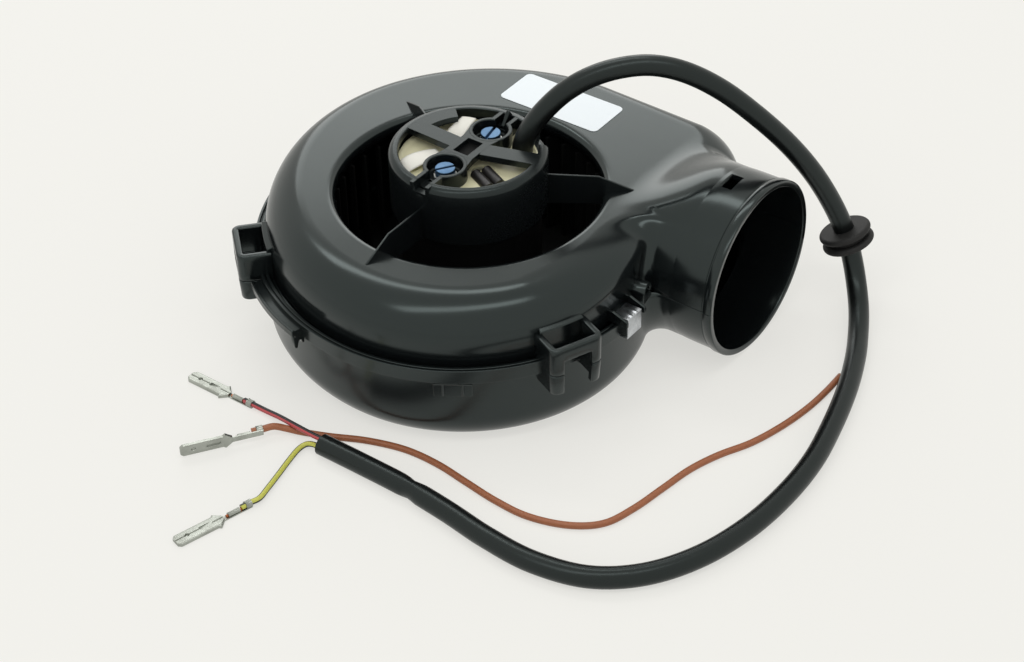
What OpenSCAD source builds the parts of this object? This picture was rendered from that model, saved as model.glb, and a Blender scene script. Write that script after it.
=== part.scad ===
// Radial blower for 12 V heating and ventilation: a two-shell scroll housing with a round outlet,
// a brush motor hung in a spoked tower, a squirrel-cage impeller and a three-wire loom.
// Millimetres. The rotor axis is Z, the base stands on z = 0 and the outlet blows along +X.

/* [Scroll housing] */
// Radius of the main half of the scroll, outside
scroll_r = 95; // [92:0.5:104]
// Offset of the scroll's centre from the rotor axis, towards the outlet
scroll_x = 4.5; // [2:0.5:8]
// Offset of the scroll's centre from the rotor axis, away from the tongue
scroll_y = 6; // [3:0.5:9]
// Radius of the quarter that runs into the tongue, outside
tongue_r = 79; // [76:0.5:84]
// Height of the flat top above the base
housing_h = 68; // [64:0.5:76]
// Height of the plane where the two shells meet
parting_z = 40; // [38:0.5:42]
// Wall thickness of both shells
wall = 2.2; // [1.6:0.1:3]
// Radius of the shoulder between wall and flat top, beside the tongue
shoulder_r = 18; // [12:0.5:20]
// Radius of the shoulder along the far wall, where the scroll is widest
far_shoulder_r = 9; // [6:0.5:16]
// Radius of the bottom edge
base_edge_r = 14; // [8:0.5:18]
// Radius of the air inlet
inlet_r = 58; // [54:0.5:60]
// How far the lower shell stands outside the upper one
lower_step = 1.5; // [0.5:0.1:2]

/* [Rim] */
// Reach of the rim outside the upper wall
rim_reach = 5.5; // [4.5:0.1:8]
// Height of the rim band
rim_h = 6.5; // [5:0.1:9]
// How far the rim stands above the parting plane
rim_over = 3; // [2:0.1:4]
// Width of the groove between rim and upper wall
rim_groove = 2.2; // [1:0.1:3]
// Reach of the wide ledge outside the upper wall
ledge_reach = 10.5; // [8:0.1:14]

/* [Outlet] */
// Radius of the outlet bead that a hose slides over
outlet_r = 39.5; // [37:0.25:39.5]
// Length of the outlet bead
bead_len = 4; // [3:0.5:8]
// Height of the bead above the pipe
bead_h = 0.6; // [0.3:0.1:1.5]
// Wall thickness of the outlet pipe
outlet_wall = 2.4; // [1.8:0.1:3]
// Distance of the outlet axis from the rotor axis
outlet_y = 50.5; // [49:0.5:54]
// Distance of the outlet's end face from the rotor axis
outlet_end = 114.5; // [110:0.5:130]
// Radius of the far corner of the duct
corner_r = 32; // [28:0.5:36]
// Where the far corner starts, measured along the outlet
corner_x = 56; // [50:0.5:60]
// Smallest radius of the valleys beside the pipe
valley_r = 4; // [3:0.5:10]
// Length of the window in the pipe, along the outlet
window_len = 6; // [3:0.5:10]
// Width of the window in the pipe
window_w = 10.5; // [6:0.5:16]

/* [Label] */
// Length of the blank label
label_len = 52; // [30:0.5:54]
// Width of the blank label
label_w = 23.3; // [12:0.1:24]

/* [Motor tower] */
// Outside radius of the tower
tower_r = 33.75; // [33:0.25:36]
// Height of the tower's top above the base
tower_top = 86.5; // [84:0.5:92]
// Height of the tower's lower edge
tower_low = 60; // [56:0.5:64]
// Wall thickness of the tower
tower_wall = 2.4; // [2:0.1:2.6]
// Thickness of the tower's top plate
plate_t = 3; // [2:0.1:4]
// Radius of the tower's top edge
tower_edge_r = 3; // [1:0.25:4]
// Width of the bars across the top plate
bar_w = 8; // [5:0.5:10]
// Width of the ring left around the top plate
ring_w = 4.2; // [3:0.1:5]
// Distance of each screw from the rotor axis
screw_x = 16; // [15:0.25:17]
// Radius of each screw well
well_r = 7.5; // [6.5:0.1:8]
// Depth of each screw well
well_depth = 6; // [5:0.25:7]
// Width of the channel that drains each well
channel_w = 6; // [4:0.5:8]

/* [Spokes] */
// Number of spokes
spoke_count = 3; // [2:1:5]
// Direction of the first spoke in degrees
spoke_first = 30; // [0:1:60]
// Thickness of a spoke
spoke_t = 2.2; // [1.5:0.1:4]
// Height of the spokes' top edge above the flat top
spoke_rise = 6.5; // [4:0.5:9]
// Radius where the spokes start to fall
spoke_knee = 55; // [48:0.5:56]
// Radius of the spokes' tips
spoke_tip = 70; // [64:0.5:70]

/* [Fastening lugs] */
// Length of a lug along the wall
lug_len = 24; // [18:0.5:30]
// Reach of a lug's outer face from the upper wall
lug_reach = 14; // [12:0.5:18]
// Thickness of a lug's outer bar
lug_bar = 3.2; // [2:0.1:4.5]
// Thickness of a lug's two cheeks
lug_cheek = 3; // [2:0.1:5]
// Height of a lug above the parting plane
lug_up = 13; // [10:0.5:16]
// Height of a lug below the parting plane
lug_down = 10; // [6:0.5:14]
// Width of the window in a lug's front
lug_window = 13; // [8:0.5:16]

/* [Shell clips] */
// Width of a steel clip
clip_w = 9.5; // [4:0.25:12]
// Thickness of the clip's strip
clip_t = 0.8; // [0.5:0.1:1.2]
// Thickness of the tab under a clip
tab_t = 2.2; // [1.5:0.1:3]
// Thickness of the guard ribs beside a clip
guard_t = 1.2; // [0.8:0.1:2]

/* [Motor] */
// Outside radius of the steel can
can_r = 30.8; // [30:0.1:31]
// Wall thickness of the steel can
can_wall = 1.6; // [1:0.1:2]
// Height of the can's floor above the base
can_low = 18; // [16:0.5:20]
// How far the can's open rim lies below the tower's top
can_drop = 12.5; // [12:0.25:14]
// Radius of the shaft
shaft_r = 3; // [2.5:0.05:4]
// Radial clearance of the shaft in its bearings
shaft_gap = 0.04; // [0.02:0.01:0.09]
// Outside radius of the sintered bearings
bearing_r = 6; // [5:0.1:7]
// Length of a bearing
bearing_len = 7; // [5:0.25:8]
// Radius of the laminated core
core_r = 20; // [18:0.25:20.5]
// Length inside the can that end turns, commutator and brushes need beside the core
core_room = 32; // [30:0.5:38]
// Number of slots in the core
core_slots = 12; // [8:1:14]
// Air gap between core and magnets
air_gap = 1; // [0.5:0.1:2]
// Angle that each magnet covers
magnet_angle = 124; // [90:1:140]
// Radius of the commutator
commutator_r = 9; // [8:0.1:10]
// Number of commutator bars
commutator_bars = 12; // [8:1:16]
// Width of a carbon brush
brush_w = 6; // [4:0.25:7]
// Height of a carbon brush
brush_h = 7; // [5:0.25:8]
// Length of a carbon brush
brush_len = 11; // [8:0.25:11.5]
// Clearance between brush and commutator, and around the brush
brush_gap = 0.3; // [0.1:0.05:0.5]
// Thickness of the brush plate
brush_plate_t = 3; // [2:0.1:4]

/* [Impeller] */
// Outside radius of the impeller
fan_r = 70; // [66:0.5:70]
// Inside radius of the blade ring
fan_in_r = 57; // [54:0.5:60]
// Height of the impeller's floor above the base
fan_low = 8; // [7:0.25:9]
// Height of the impeller's top ring above the base
fan_top = 60.5; // [56:0.5:61]
// Thickness of floor and top ring
fan_t = 2; // [1.5:0.1:3]
// Number of blades
blade_count = 40; // [24:1:44]
// Thickness of a blade
blade_t = 1.2; // [0.8:0.1:1.6]
// Turn of a blade from root to tip, in degrees
blade_turn = 12; // [6:0.5:14]
// Radius of the hub
hub_r = 10; // [8:0.5:14]

/* [Screws] */
// Radius of a screw head
head_r = 4.25; // [3.5:0.05:5]
// Height of a screw head
head_h = 3.3; // [2:0.1:4]
// Radius of a screw shank
shank_r = 2.5; // [2:0.05:2.6]
// Width of the slot in a screw head
slot_w = 1.2; // [0.8:0.1:1.6]
// Thickness of a lock washer
washer_t = 1.2; // [0.8:0.1:1.6]

/* [Loom] */
// Diameter of the black sleeve
sleeve_d = 9; // [8:0.1:9]
// Diameter of the brown wire
brown_d = 2.9; // [2:0.1:3]
// Diameter of the red and the yellow wire
wire_d = 2.4; // [2:0.1:2.6]
// Radius of the grommet's flanges
grommet_r = 11.5; // [9:0.25:13]
// Length of the grommet
grommet_len = 8; // [6:0.25:10]
// Width of a blade terminal
tab_w = 6.3; // [4.8:0.1:6.5]
// Length of a terminal's blade
tab_len = 22; // [16:0.5:26]
// Thickness of a terminal's folded blade
tab_fold = 1.6; // [0.8:0.1:2]

/* [Hidden] */
$fn = 96;
eps = 0.02;
// Flat top: the wall under it, and the bellmouth lip that edges the inlet
top_under = housing_h - wall;
lip_t = 1.8;
lip_h = 6;
// Centres of the scroll's arcs
scroll_c = [scroll_x, scroll_y];
tongue_c = [scroll_x, scroll_y - scroll_r + tongue_r];
corner_c = [corner_x, scroll_y + scroll_r - corner_r];
// Pipe behind the bead, and where the moulded duct has ended inside it
pipe_r = outlet_r - bead_h;
bore_r = outlet_r - bead_h - outlet_wall;
pipe_start = 88;
duct_end = pipe_start + 8;
duct_sink = 0.3;
duct_floor_w = 9;
window_back = 16;
edge_steps = 6;
scroll_steps = 32;
corner_steps = 8;
corner_share = 0.7;
tongue_steps = 18;
tongue_drop = 0.55;
blend_turn = [150, 235];
// Point that sees the whole plan, for the end faces of the shells
hub_x = 40;
hub_y = 30;
// Ramp from flat top to pipe
ramp_start = 56;
ramp_end = pipe_start + 3;
ramp_sink = 2;
ramp_depth = 2;
ramp_narrow = 0.75;
ramp_steps = 6;
ramp_stations = 8;
// Arcs of the outline, and the features on them: number of the arc, then degrees around its centre
arcs = [[scroll_c, scroll_r], [tongue_c, tongue_r]];
lug_places = [[1, -24], [0, -132.5]];
clip_places = [[1, -1], [0, 97], [0, 170]];
snap_place = [1, -57];
eyelet_place = [1, 10.5];
// Wide ledge, from and to
ledge_turn = [-125, -103];
ledge_t = 4;
eyelet_r = 5;
eyelet_len = 7;
// End of the rim beside the pipe
rim_end = 4;
// Floor of the groove below the parting plane
groove_drop = 1;
// Snap tab below the rim
snap_w = 16;
snap_h = 9;
snap_t = 1.6;
snap_shelf = 1.3;
snap_shelf_t = 1.2;
prong_t = 2;
prong_len = 6;
prong_w = 1.8;
prong_turn = 0.6;
// Label: its middle, thickness and corner radius
label_x = -3.4;
label_y = 73.4;
label_t = 0.25;
label_r = 2.5;
// Tab over the rim that a clip holds down
tab_z1 = parting_z + rim_over + tab_t;
clip_grip = 1;
guard_gap = 1;
guard_out = 1.7;
clip_reach = rim_reach + 2.5;
guard_h = 2.5 * tab_t;
// Room behind a lug's loop, and between it and the rim
lug_back = 1;
lug_gap = 0.2;
lug_round = lug_bar;
// Rim, from bottom to top
rim_z0 = parting_z + rim_over - rim_h;
rim_z1 = parting_z + rim_over;
// Tower top, wells and what they stand on
plate_low = tower_top - plate_t;
well_floor = tower_top - well_depth;
well_wall = 1.8;
spoke_foot = 0.3;
well_floor_t = 2;
post_top = well_floor - well_floor_t;
bar_angles = [178, 17];
centre_w = 14;
pocket_w = 7.4;
pocket_len = 11;
cable_angle = 50;
cable_r = 23.4;
cable_block = 10;
cable_notch = 14;
cable_notch_depth = 3;
channel_depth = 4;
fin_t = 1.8;
fin_rise = 2.7;
post_inset = 2;
ring_inset = 3;
grommet_waist = 3;
crimp_share = 0.8;
dimple_back = 5.5;
dimple_r = 0.9;
lance_w = 1.6;
lance_len = 6;
screw_gap = 0.25;
shank_len = 9;
slot_turn = [35, 18];
// Motor stack along the rotor axis
can_top = tower_top - can_drop;
can_in = can_r - can_wall;
seat_r = bearing_r + can_wall;
seat_low = can_low - 5.5;
bearing_low = seat_low + 1;
brush_plate_top = can_top + brush_plate_t;
boss_wall = 2.2;
boss_floor = 1;
shaft_room = 1;
retainer_t = 0.6;
retainer_lap = 1.6;
retainer_gap = 0.2;
upper_bearing_top = post_top - retainer_gap - retainer_t;
upper_bearing_low = upper_bearing_top - bearing_len;
washer_gap = 0.3;
thrust_t = 0.8;
thrust_lap = 2;
core_low = can_low + 10.5;
core_len = can_top - can_low - core_room;
magnet_over = 4;
winding_h = 5.5;
winding_gap = 0.2;
commutator_low = core_low + core_len + winding_h;
commutator_top = upper_bearing_low - boss_floor - washer_gap - thrust_t - washer_gap;
commutator_h = commutator_top - commutator_low;
bar_gap = 0.6;
bar_depth = 1;
brush_z = commutator_top - brush_h / 2 - 0.5;
brush_in = commutator_r + brush_gap;
brush_out = brush_in + brush_len;
holder_wall = 1.2;
holder_in = commutator_r + 2;
holder_out = can_in - 1.5;
shaft_low = 4;
shaft_top = upper_bearing_top - 1;
hub_low = shaft_low + 1.2;
hub_top = seat_low - 1;
fan_ring = 8;
hub_slope = 2;
blade_steps = 4;
blade_inset = 0.5;
shaft_chamfer = 0.5;
// Slots, coils and springs
slot_c = core_r - 5;
slot_r = 3;
slot_mouth = 2;
winding_in = 6;
winding_edge = 2;
spring_r = 2;
spring_wire = 0.7;
spring_turns = 4;
spring_steps = 8;
coil_gap = 0.15;
// Blocks and chokes on the brush plate: start from the axis, run and width
plate_gap = 0.2;
block_angles = [210, 150];
block_top = can_top + 6;
block_in = 12;
block_len = 13;
block_w = 8;
choke_angle = -25;
choke_seat = can_top + 3.5;
choke_r = 2.4;
choke_in = 11;
choke_len = 12;
choke_gap = 0.4;
choke_bore = 2;
choke_pad = 1;
// Lock washers: how far they stand out from the head, their room on the shank and the split
washer_over = 0.6;
washer_room = 0.15;
split_w = 0.8;
split_turn = 200;
// Terminals and grommet
crimp_t = 0.5;
grip_len = 11;
neck_len = 2;
tab_point = 1.2;
barb_x = 3;
barb_w = 0.9;
grommet_edge = 1.5;
// Route of the black sleeve, from the tower over the outlet to its cut end on the table
sleeve_route = [
    [15, 18, tower_top - 7.5], [15.4, 18.4, tower_top - 2.5], [17.6, 20.2, tower_top + 4.5],
    [22.4, 24, tower_top + 13.5], [29.4, 29.5, tower_top + 22.5], [38, 36, tower_top + 29.3],
    [48, 43, tower_top + 33.5], [58.5, 51, tower_top + 34.2], [70, 59, tower_top + 30.5],
    [82, 68, tower_top + 21.5], [94, 77, tower_top + 8.5], [105, 86, 80], [114.5, 93, 64.5],
    [122.3, 98.4, 48], [128.6, 101.4, 32.4], [133, 100.4, 22], [138.4, 95.6, 13.8], [144.8, 87, 8.2],
    [151.4, 75, 5.2], [158, 60.6, 4.6], [165, 41, 4.6], [171, 18, 4.6], [175.5, -6, 4.6],
    [176.5, -30, 4.6], [174, -55, 4.6], [167, -79, 4.6], [155, -99, 4.6], [138, -112.5, 4.6],
    [116, -118, 4.6], [94, -117.4, 4.6], [72, -114.4, 4.6], [50, -112.4, 4.6], [28, -112, 4.6],
    [6, -112, 4.6]
];
// Route of the brown wire, from the slit in the sleeve to its terminal
brown_route = [
    [157, 50, 1.6], [157, 38, 1.6], [156, 24, 1.6], [153, 8, 1.6], [148, -8, 1.6],
    [141, -22, 1.6], [136, -36, 1.6], [133, -52, 1.6], [130, -68, 1.6], [125, -82, 1.6],
    [114, -91, 1.6], [98, -96, 1.6], [82, -96, 1.6], [66, -94, 1.6], [50, -92, 1.6],
    [34, -92.5, 1.6], [18, -97, 1.6], [3, -104, 1.6], [-8, -108.6, 1.8], [-13.5, -111.5, 3],
    [-17.4, -114.8, 4.6], [-20.2, -118.8, 4.6]
];
// Routes of the red and the yellow wire, from the sleeve's cut end to their terminals
red_route = [
    [6, -111, 6.2], [0, -111, 6.2], [-10, -110, 5.4], [-20, -108, 3.4], [-29, -107, 2], [-36, -107, 2]
];
yellow_route = [
    [6, -112.6, 2.8], [2, -112.6, 2.8], [-1, -114, 2.4], [-2, -118, 1.9], [-1, -125, 1.6],
    [1, -134, 1.6], [3, -143, 1.8], [4.2, -149, 2], [3, -153, 2]
];
grommet_at = 14;

// Points on an arc about c, from angle a0 to a1
function arc(c, r, a0, a1, n) =
    [for (i = [0:n]) let (a = a0 + (a1 - a0) * i / n) [c.x + r * cos(a), c.y + r * sin(a)]];

// All but the first point of a list
function rest(list) = [for (i = [1:len(list) - 1]) list[i]];

// Reverses a list
function reversed(list) = [for (i = [len(list) - 1:-1:0]) list[i]];

// Points lifted to a height
function lifted(list, z) = [for (p = list) [p.x, p.y, z]];

// Half-width of the duct at height z: the chord of the pipe there
function duct_w(z) =
    sqrt(max(pow(pipe_r - duct_sink, 2) - pow(z - parting_z, 2), duct_floor_w * duct_floor_w));

// Height of a rounded edge of radius r at angle a, from 0 on the wall to 90 on the flat
function edge_z(flat_z, r, skin, a) =
    let (side = sign(flat_z - parting_z))
    a < 0 ? parting_z : flat_z - side * r + side * (r - skin) * sin(a);

// How far that edge is drawn in from the wall
function edge_in(r, skin, a) = skin + (a < 0 ? 0 : (r - skin) * (1 - cos(a)));

// Point of a rounded edge of radius r on an arc of the outline
function edge_point(c, wall_r, turn, flat_z, r, skin, a) =
    let (reach = wall_r - edge_in(r, skin, a))
    [c.x + reach * cos(turn), c.y + reach * sin(turn), edge_z(flat_z, r, skin, a)];

// Smooth step from 0 to 1
function eased(x) = let (t = min(1, max(0, x))) t * t * (3 - 2 * t);

// Share of the near edge radius at a turn of the scroll, from 0 at the far wall to 1 at the tongue
function near_share(turn) = eased((turn - blend_turn[0]) / (blend_turn[1] - blend_turn[0]));

// One closed section of a shell: scroll, tongue, valley, duct, second valley and far corner.
// Its edge is near_r wide beside the tongue and the duct, and far_r along the far wall;
// towards the near valley its height falls to duct_r.
function shell_ring(flat_z, near_r, far_r, duct_r, out, skin, a) =
    let (
        z = edge_z(flat_z, near_r, skin, a),
        duct_z = edge_z(flat_z, duct_r, skin, a),
        near_w = duct_w(duct_z) - skin,
        far_w = duct_w(z) - skin,
        v = valley_r + edge_in(near_r, skin, a) / 3,
        tongue = tongue_r + out - edge_in(near_r, skin, a),
        corner = corner_r + out - edge_in(near_r, skin, a),
        near_y = outlet_y - near_w - v,
        near_x = tongue_c.x + sqrt(pow(tongue + v, 2) - pow(near_y - tongue_c.y, 2)),
        near_a = atan2(near_y - tongue_c.y, near_x - tongue_c.x),
        far_y = outlet_y + far_w + v,
        far_x = corner_c.x + sqrt(pow(corner + v, 2) - pow(far_y - corner_c.y, 2)),
        far_a = atan2(far_y - corner_c.y, far_x - corner_c.x),
        end = duct_end - skin
    )
    concat(
        [
            for (i = [0:scroll_steps])
                let (turn = 90 + 180 * i / scroll_steps, r = far_r + (near_r - far_r) * near_share(turn))
                    edge_point(scroll_c, scroll_r + out, turn, flat_z, r, skin, a)
        ],
        [
            for (i = [1:tongue_steps])
                let (
                    t = i / tongue_steps,
                    turn = 270 + (90 + near_a) * t,
                    rise = eased((t - tongue_drop) / (1 - tongue_drop))
                )
                [
                    tongue_c.x + tongue * cos(turn), tongue_c.y + tongue * sin(turn),
                    z + (duct_z - z) * rise
                ]
        ],
        lifted(rest(arc([near_x, near_y], v, 180 + near_a, 90, 6)), duct_z),
        [[end, outlet_y - near_w, duct_z], [end, outlet_y + far_w, z]],
        lifted(arc([far_x, far_y], v, 270, 180 + far_a, 6), z),
        [
            for (i = [1:corner_steps])
                let (
                    t = i / corner_steps,
                    r = near_r + (far_r - near_r) * corner_share * t
                )
                edge_point(corner_c, corner_r + out, far_a + (90 - far_a) * t, flat_z, r, skin, a)
        ]
    );

// Sections of a shell's skin from the parting plane to its flat
function shell_rings(flat_z, near_r, far_r, duct_r, out, skin) = [
    for (i = [-1:edge_steps]) shell_ring(flat_z, near_r, far_r, duct_r, out, skin, 90 * i / edge_steps)
];

// Sections of the ramp that lifts the flat top to the pipe, drawn in by skin
function ramp_ring(x, skin) =
    let (
        t = min(1, max(0, (x - ramp_start) / (pipe_start - ramp_start))),
        s = t * t * (3 - 2 * t),
        r = pipe_r - duct_sink - skin,
        half = acos((housing_h - ramp_sink - parting_z) / (pipe_r - duct_sink)),
        foot = housing_h - ramp_sink - skin,
        spread = ramp_narrow + (1 - ramp_narrow) * s
    )
    concat(
        [
            for (i = [-ramp_steps:ramp_steps])
                let (a = half * i / ramp_steps)
                    [x, outlet_y + spread * r * sin(a), foot + s * (parting_z + r * cos(a) - foot)]
        ],
        [
            [x, outlet_y + spread * r * sin(half), foot - ramp_depth],
            [x, outlet_y - spread * r * sin(half), foot - ramp_depth]
        ]
    );

// Unit vector
function unit(v) = v / norm(v);

// Direction of a route at point i
function heading(route, i) =
    unit(route[min(i + 1, len(route) - 1)] - route[max(i - 1, 0)]);

// Sideways vectors along a route, each turned as little as possible from the one before
function sideways(route, i = 0, last = [0, 0, 1]) =
    i == len(route) ? [] :
    let (
        h = heading(route, i),
        start = abs(h * last) > 0.9 ? [1, 0, 0] : last,
        v = unit(start - (start * h) * h)
    )
    concat([v], sideways(route, i + 1, v));

// Sections of a round tube of radius r along a route
function tube_rings(route, r, sides) =
    let (side = sideways(route))
    [
        for (i = [0:len(route) - 1])
            let (up = cross(side[i], heading(route, i)))
                [
                    for (k = [0:sides - 1])
                        let (a = 360 * k / sides) route[i] + r * (cos(a) * side[i] + sin(a) * up)
                ]
    ];

// Solid through closed sections of equal length, with a fan to one point in each end face
module loft(rings, hub_a, hub_b) {
    n = len(rings[0]);
    m = len(rings);
    sides = [
        for (j = [0:m - 2], i = [0:n - 1])
            let (a = j * n + i, b = j * n + (i + 1) % n)
                each [[a, b, b + n], [a, b + n, a + n]]
    ];
    first = [for (i = [0:n - 1]) [m * n, (i + 1) % n, i]];
    last = [for (i = [0:n - 1]) [m * n + 1, (m - 1) * n + i, (m - 1) * n + (i + 1) % n]];
    polyhedron(concat([for (ring = rings) each ring], [hub_a, hub_b]), concat(sides, first, last));
}

// Round tube along a route
module tube(route, d, sides) {
    loft(tube_rings(route, d / 2, sides), route[0], route[len(route) - 1]);
}

// Open shell between the parting plane and its flat, of one wall thickness
module shell(flat_z, near_r, far_r, duct_r, out) {
    outer = shell_rings(flat_z, near_r, far_r, duct_r, out, 0);
    inner = shell_rings(flat_z, near_r, far_r, duct_r, out, wall);
    upward = flat_z > parting_z;
    rings = upward ? concat(reversed(outer), inner) : concat(reversed(inner), outer);
    hub_z = upward ? [flat_z, flat_z - wall] : [flat_z + wall, flat_z];
    loft(rings, [hub_x, hub_y, hub_z[0]], [hub_x, hub_y, hub_z[1]]);
}

// Solid ramp between flat top and pipe
module ramp(skin) {
    run = ramp_end - ramp_start;
    rings = [for (i = [0:ramp_stations]) ramp_ring(ramp_start + run * i / ramp_stations, skin)];
    low = housing_h - ramp_sink - skin - ramp_depth / 2;
    loft(rings, [ramp_start, outlet_y, low], [ramp_end, outlet_y, low]);
}

// Half of the outlet pipe with its bead, above or below the parting plane
module half_pipe(up) {
    intersection() {
        translate([0, outlet_y, parting_z])
            rotate([0, 90, 0])
                union() {
                    translate([0, 0, pipe_start]) cylinder(r = pipe_r, h = outlet_end - pipe_start);
                    translate([0, 0, outlet_end - bead_len]) cylinder(r = outlet_r, h = bead_len);
                }
        translate([pipe_start - 1, outlet_y - 2 * outlet_r, up ? parting_z : parting_z - 2 * outlet_r])
            cube([outlet_end, 4 * outlet_r, 2 * outlet_r]);
    }
}

// Bore of the outlet, long enough to leave the duct open behind it
module outlet_bore() {
    translate([ramp_end - 4, outlet_y, parting_z])
        rotate([0, 90, 0]) cylinder(r = bore_r, h = outlet_end);
}

// Ring sector about a centre, from angle a0 to a1, with a section given as a polygon in r and z
module sector(c, a0, a1, section) {
    translate([c.x, c.y, 0])
        rotate([0, 0, a0]) rotate_extrude(angle = a1 - a0) polygon(section);
}

// Section of the rim outside a wall of radius r, with the groove behind it
function rim_section(r) = [
    [r + lower_step - wall / 2, rim_z0], [r + rim_reach, rim_z0], [r + rim_reach, rim_z1],
    [r + rim_groove, rim_z1], [r + rim_groove, parting_z - groove_drop],
    [r + lower_step - wall / 2, parting_z - groove_drop]
];

// Piece put at a place on an arc of the outline, with X pointing outwards from the arc's centre
module at_wall(place) {
    c = arcs[place[0]][0];
    translate([c.x, c.y, 0])
        rotate([0, 0, place[1]]) children();
}

// Radius of the upper wall at a place
function seat_at(place) = arcs[place[0]][1];

// Box of a lug between two heights, hollow behind its rounded bar, from a wall that stands out by step
module lug_frame(place, z0, z1, step) {
    seat = seat_at(place);
    root = step - wall / 2;
    translate([seat, 0, z0])
        linear_extrude(z1 - z0)
            difference() {
                union() {
                    translate([root, -lug_len / 2]) square([lug_reach - lug_round - root, lug_len]);
                    translate([root, -lug_len / 2 + lug_round])
                        square([lug_reach - root, lug_len - 2 * lug_round]);
                    for (side = [-1, 1])
                        translate([lug_reach - lug_round, side * (lug_len / 2 - lug_round)])
                            circle(r = lug_round, $fn = 32);
                }
                translate([step + lug_back, -lug_len / 2 + lug_cheek])
                    square([lug_reach - lug_bar - lug_back - step, lug_len - 2 * lug_cheek]);
            }
}

// Upper half of a lug: a loop over the rim with a window under its bar
module lug_upper(place) {
    seat = seat_at(place);
    at_wall(place)
        difference() {
            lug_frame(place, parting_z, parting_z + lug_up, 0);
            translate([0, 0, parting_z - 1]) cylinder(r = seat + rim_reach + lug_gap, h = rim_over + 1);
            translate([seat + lug_reach - 2 * lug_bar, -lug_window / 2, parting_z - 1])
                cube([3 * lug_bar, lug_window, lug_up - 2 * lug_bar + 1]);
        }
}

// Lower half of a lug: two legs under the loop
module lug_lower(place) {
    seat = seat_at(place);
    at_wall(place)
        difference() {
            lug_frame(place, parting_z - lug_down, parting_z, lower_step);
            translate([seat + lug_reach - 2 * lug_bar, -lug_window / 2, parting_z - lug_down - 1])
                cube([3 * lug_bar, lug_window, lug_down + 2]);
        }
}

// Steel strip bent round the rim and the tab above it
module clip(place) {
    reach = clip_reach + clip_t;
    at_wall(place)
        translate([seat_at(place), clip_w / 2, 0])
            rotate([90, 0, 0])
                linear_extrude(clip_w)
                    polygon([
                        [rim_groove + clip_grip, rim_z0 - clip_t], [reach, rim_z0 - clip_t],
                        [reach, tab_z1 + clip_t], [rim_groove - clip_grip, tab_z1 + clip_t],
                        [rim_groove - clip_grip, tab_z1], [clip_reach, tab_z1], [clip_reach, rim_z0],
                        [rim_groove + clip_grip, rim_z0]
                    ]);
}

// Tab of the upper shell over the rim, between two sloping guard ribs
module clip_seat(place) {
    root = seat_at(place) - wall / 2;
    reach = clip_reach + wall / 2 + guard_out;
    at_wall(place) {
        translate([root, -clip_w / 2 - guard_gap, rim_z1])
            cube([clip_reach + wall / 2, clip_w + 2 * guard_gap, tab_t]);
        for (side = [-1, 1])
            translate([root, side * (clip_w / 2 + guard_gap + guard_t / 2) + guard_t / 2, rim_z1])
                rotate([90, 0, 0])
                    linear_extrude(guard_t)
                        polygon([
                            [0, 0], [reach, 0], [reach, guard_h / 2], [wall / 2 + rim_groove, guard_h],
                            [0, guard_h]
                        ]);
    }
}

// Outline of the tower's openings: what is inside the ring but not bar, well, bridge or centre
module tower_openings() {
    difference() {
        circle(r = tower_r - ring_w);
        for (a = bar_angles)
            rotate([0, 0, a]) translate([0, -bar_w / 2]) square([tower_r, bar_w]);
        for (side = [-1, 1]) {
            translate([0, side * screw_x]) circle(r = well_r + well_wall);
            translate([-channel_w / 2 - well_wall, side > 0 ? screw_x : -tower_r])
                square([channel_w + 2 * well_wall, tower_r - screw_x]);
        }
        square([centre_w, centre_w], center = true);
    }
}

// Half section of the tower: a cup with a rounded edge, open below
module tower_section() {
    difference() {
        translate([0, tower_low])
            union() {
                square([tower_r, tower_top - tower_low - tower_edge_r]);
                square([tower_r - tower_edge_r, tower_top - tower_low]);
                translate([tower_r - tower_edge_r, tower_top - tower_low - tower_edge_r])
                    circle(r = tower_edge_r);
            }
        translate([-1, tower_low - 1]) square([tower_r - tower_wall + 1, plate_low - tower_low + 1]);
        translate([-tower_r, 0]) square([tower_r, 2 * tower_top]);
    }
}

// Thin web from tower to flat top
module spoke() {
    top = housing_h + spoke_rise;
    translate([0, spoke_t / 2, 0])
        rotate([90, 0, 0])
            linear_extrude(spoke_t)
                polygon([
                    [tower_r - tower_wall / 2, tower_low], [inlet_r + lip_t / 2, tower_low + 1],
                    [inlet_r + lip_t / 2, housing_h - wall / 2], [spoke_tip, housing_h - wall / 2],
                    [spoke_tip, housing_h + spoke_foot], [spoke_knee, top],
                    [tower_r - tower_wall / 2, top]
                ]);
}

// Tower that holds the motor, with its spokes: cup, screw wells and a pierced plate on top
module tower() {
    difference() {
        union() {
            rotate_extrude() tower_section();
            for (side = [-1, 1])
                translate([0, side * screw_x, post_top])
                    cylinder(r = well_r + well_wall, h = tower_top - post_top - plate_t / 2);
            for (i = [0:spoke_count - 1])
                rotate([0, 0, spoke_first + i * 360 / spoke_count]) spoke();
        }
        translate([0, 0, plate_low - 1]) linear_extrude(plate_t + 2) tower_openings();
        for (side = [-1, 1]) {
            translate([0, side * screw_x, well_floor]) cylinder(r = well_r, h = well_depth + 1);
            translate([0, side * screw_x, post_top - 1])
                cylinder(r = shank_r + screw_gap, h = well_floor_t + 2);
        }
        translate([-channel_w / 2, -tower_r - 1, tower_top - channel_depth])
            cube([channel_w, tower_r - screw_x + 1, channel_depth + 1]);
        translate([-channel_w / 2, screw_x, tower_top - channel_depth])
            cube([channel_w, tower_r - screw_x - ring_w / 2, channel_depth + 1]);
        translate([-pocket_w / 2, -pocket_len / 2, plate_low + plate_t / 4])
            cube([pocket_w, pocket_len, plate_t]);
        rotate([0, 0, cable_angle])
            translate([tower_r - ring_w - 1, -cable_notch / 2, plate_low - cable_notch_depth])
                cube([2 * ring_w, cable_notch, tower_top]);
    }
}

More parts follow.
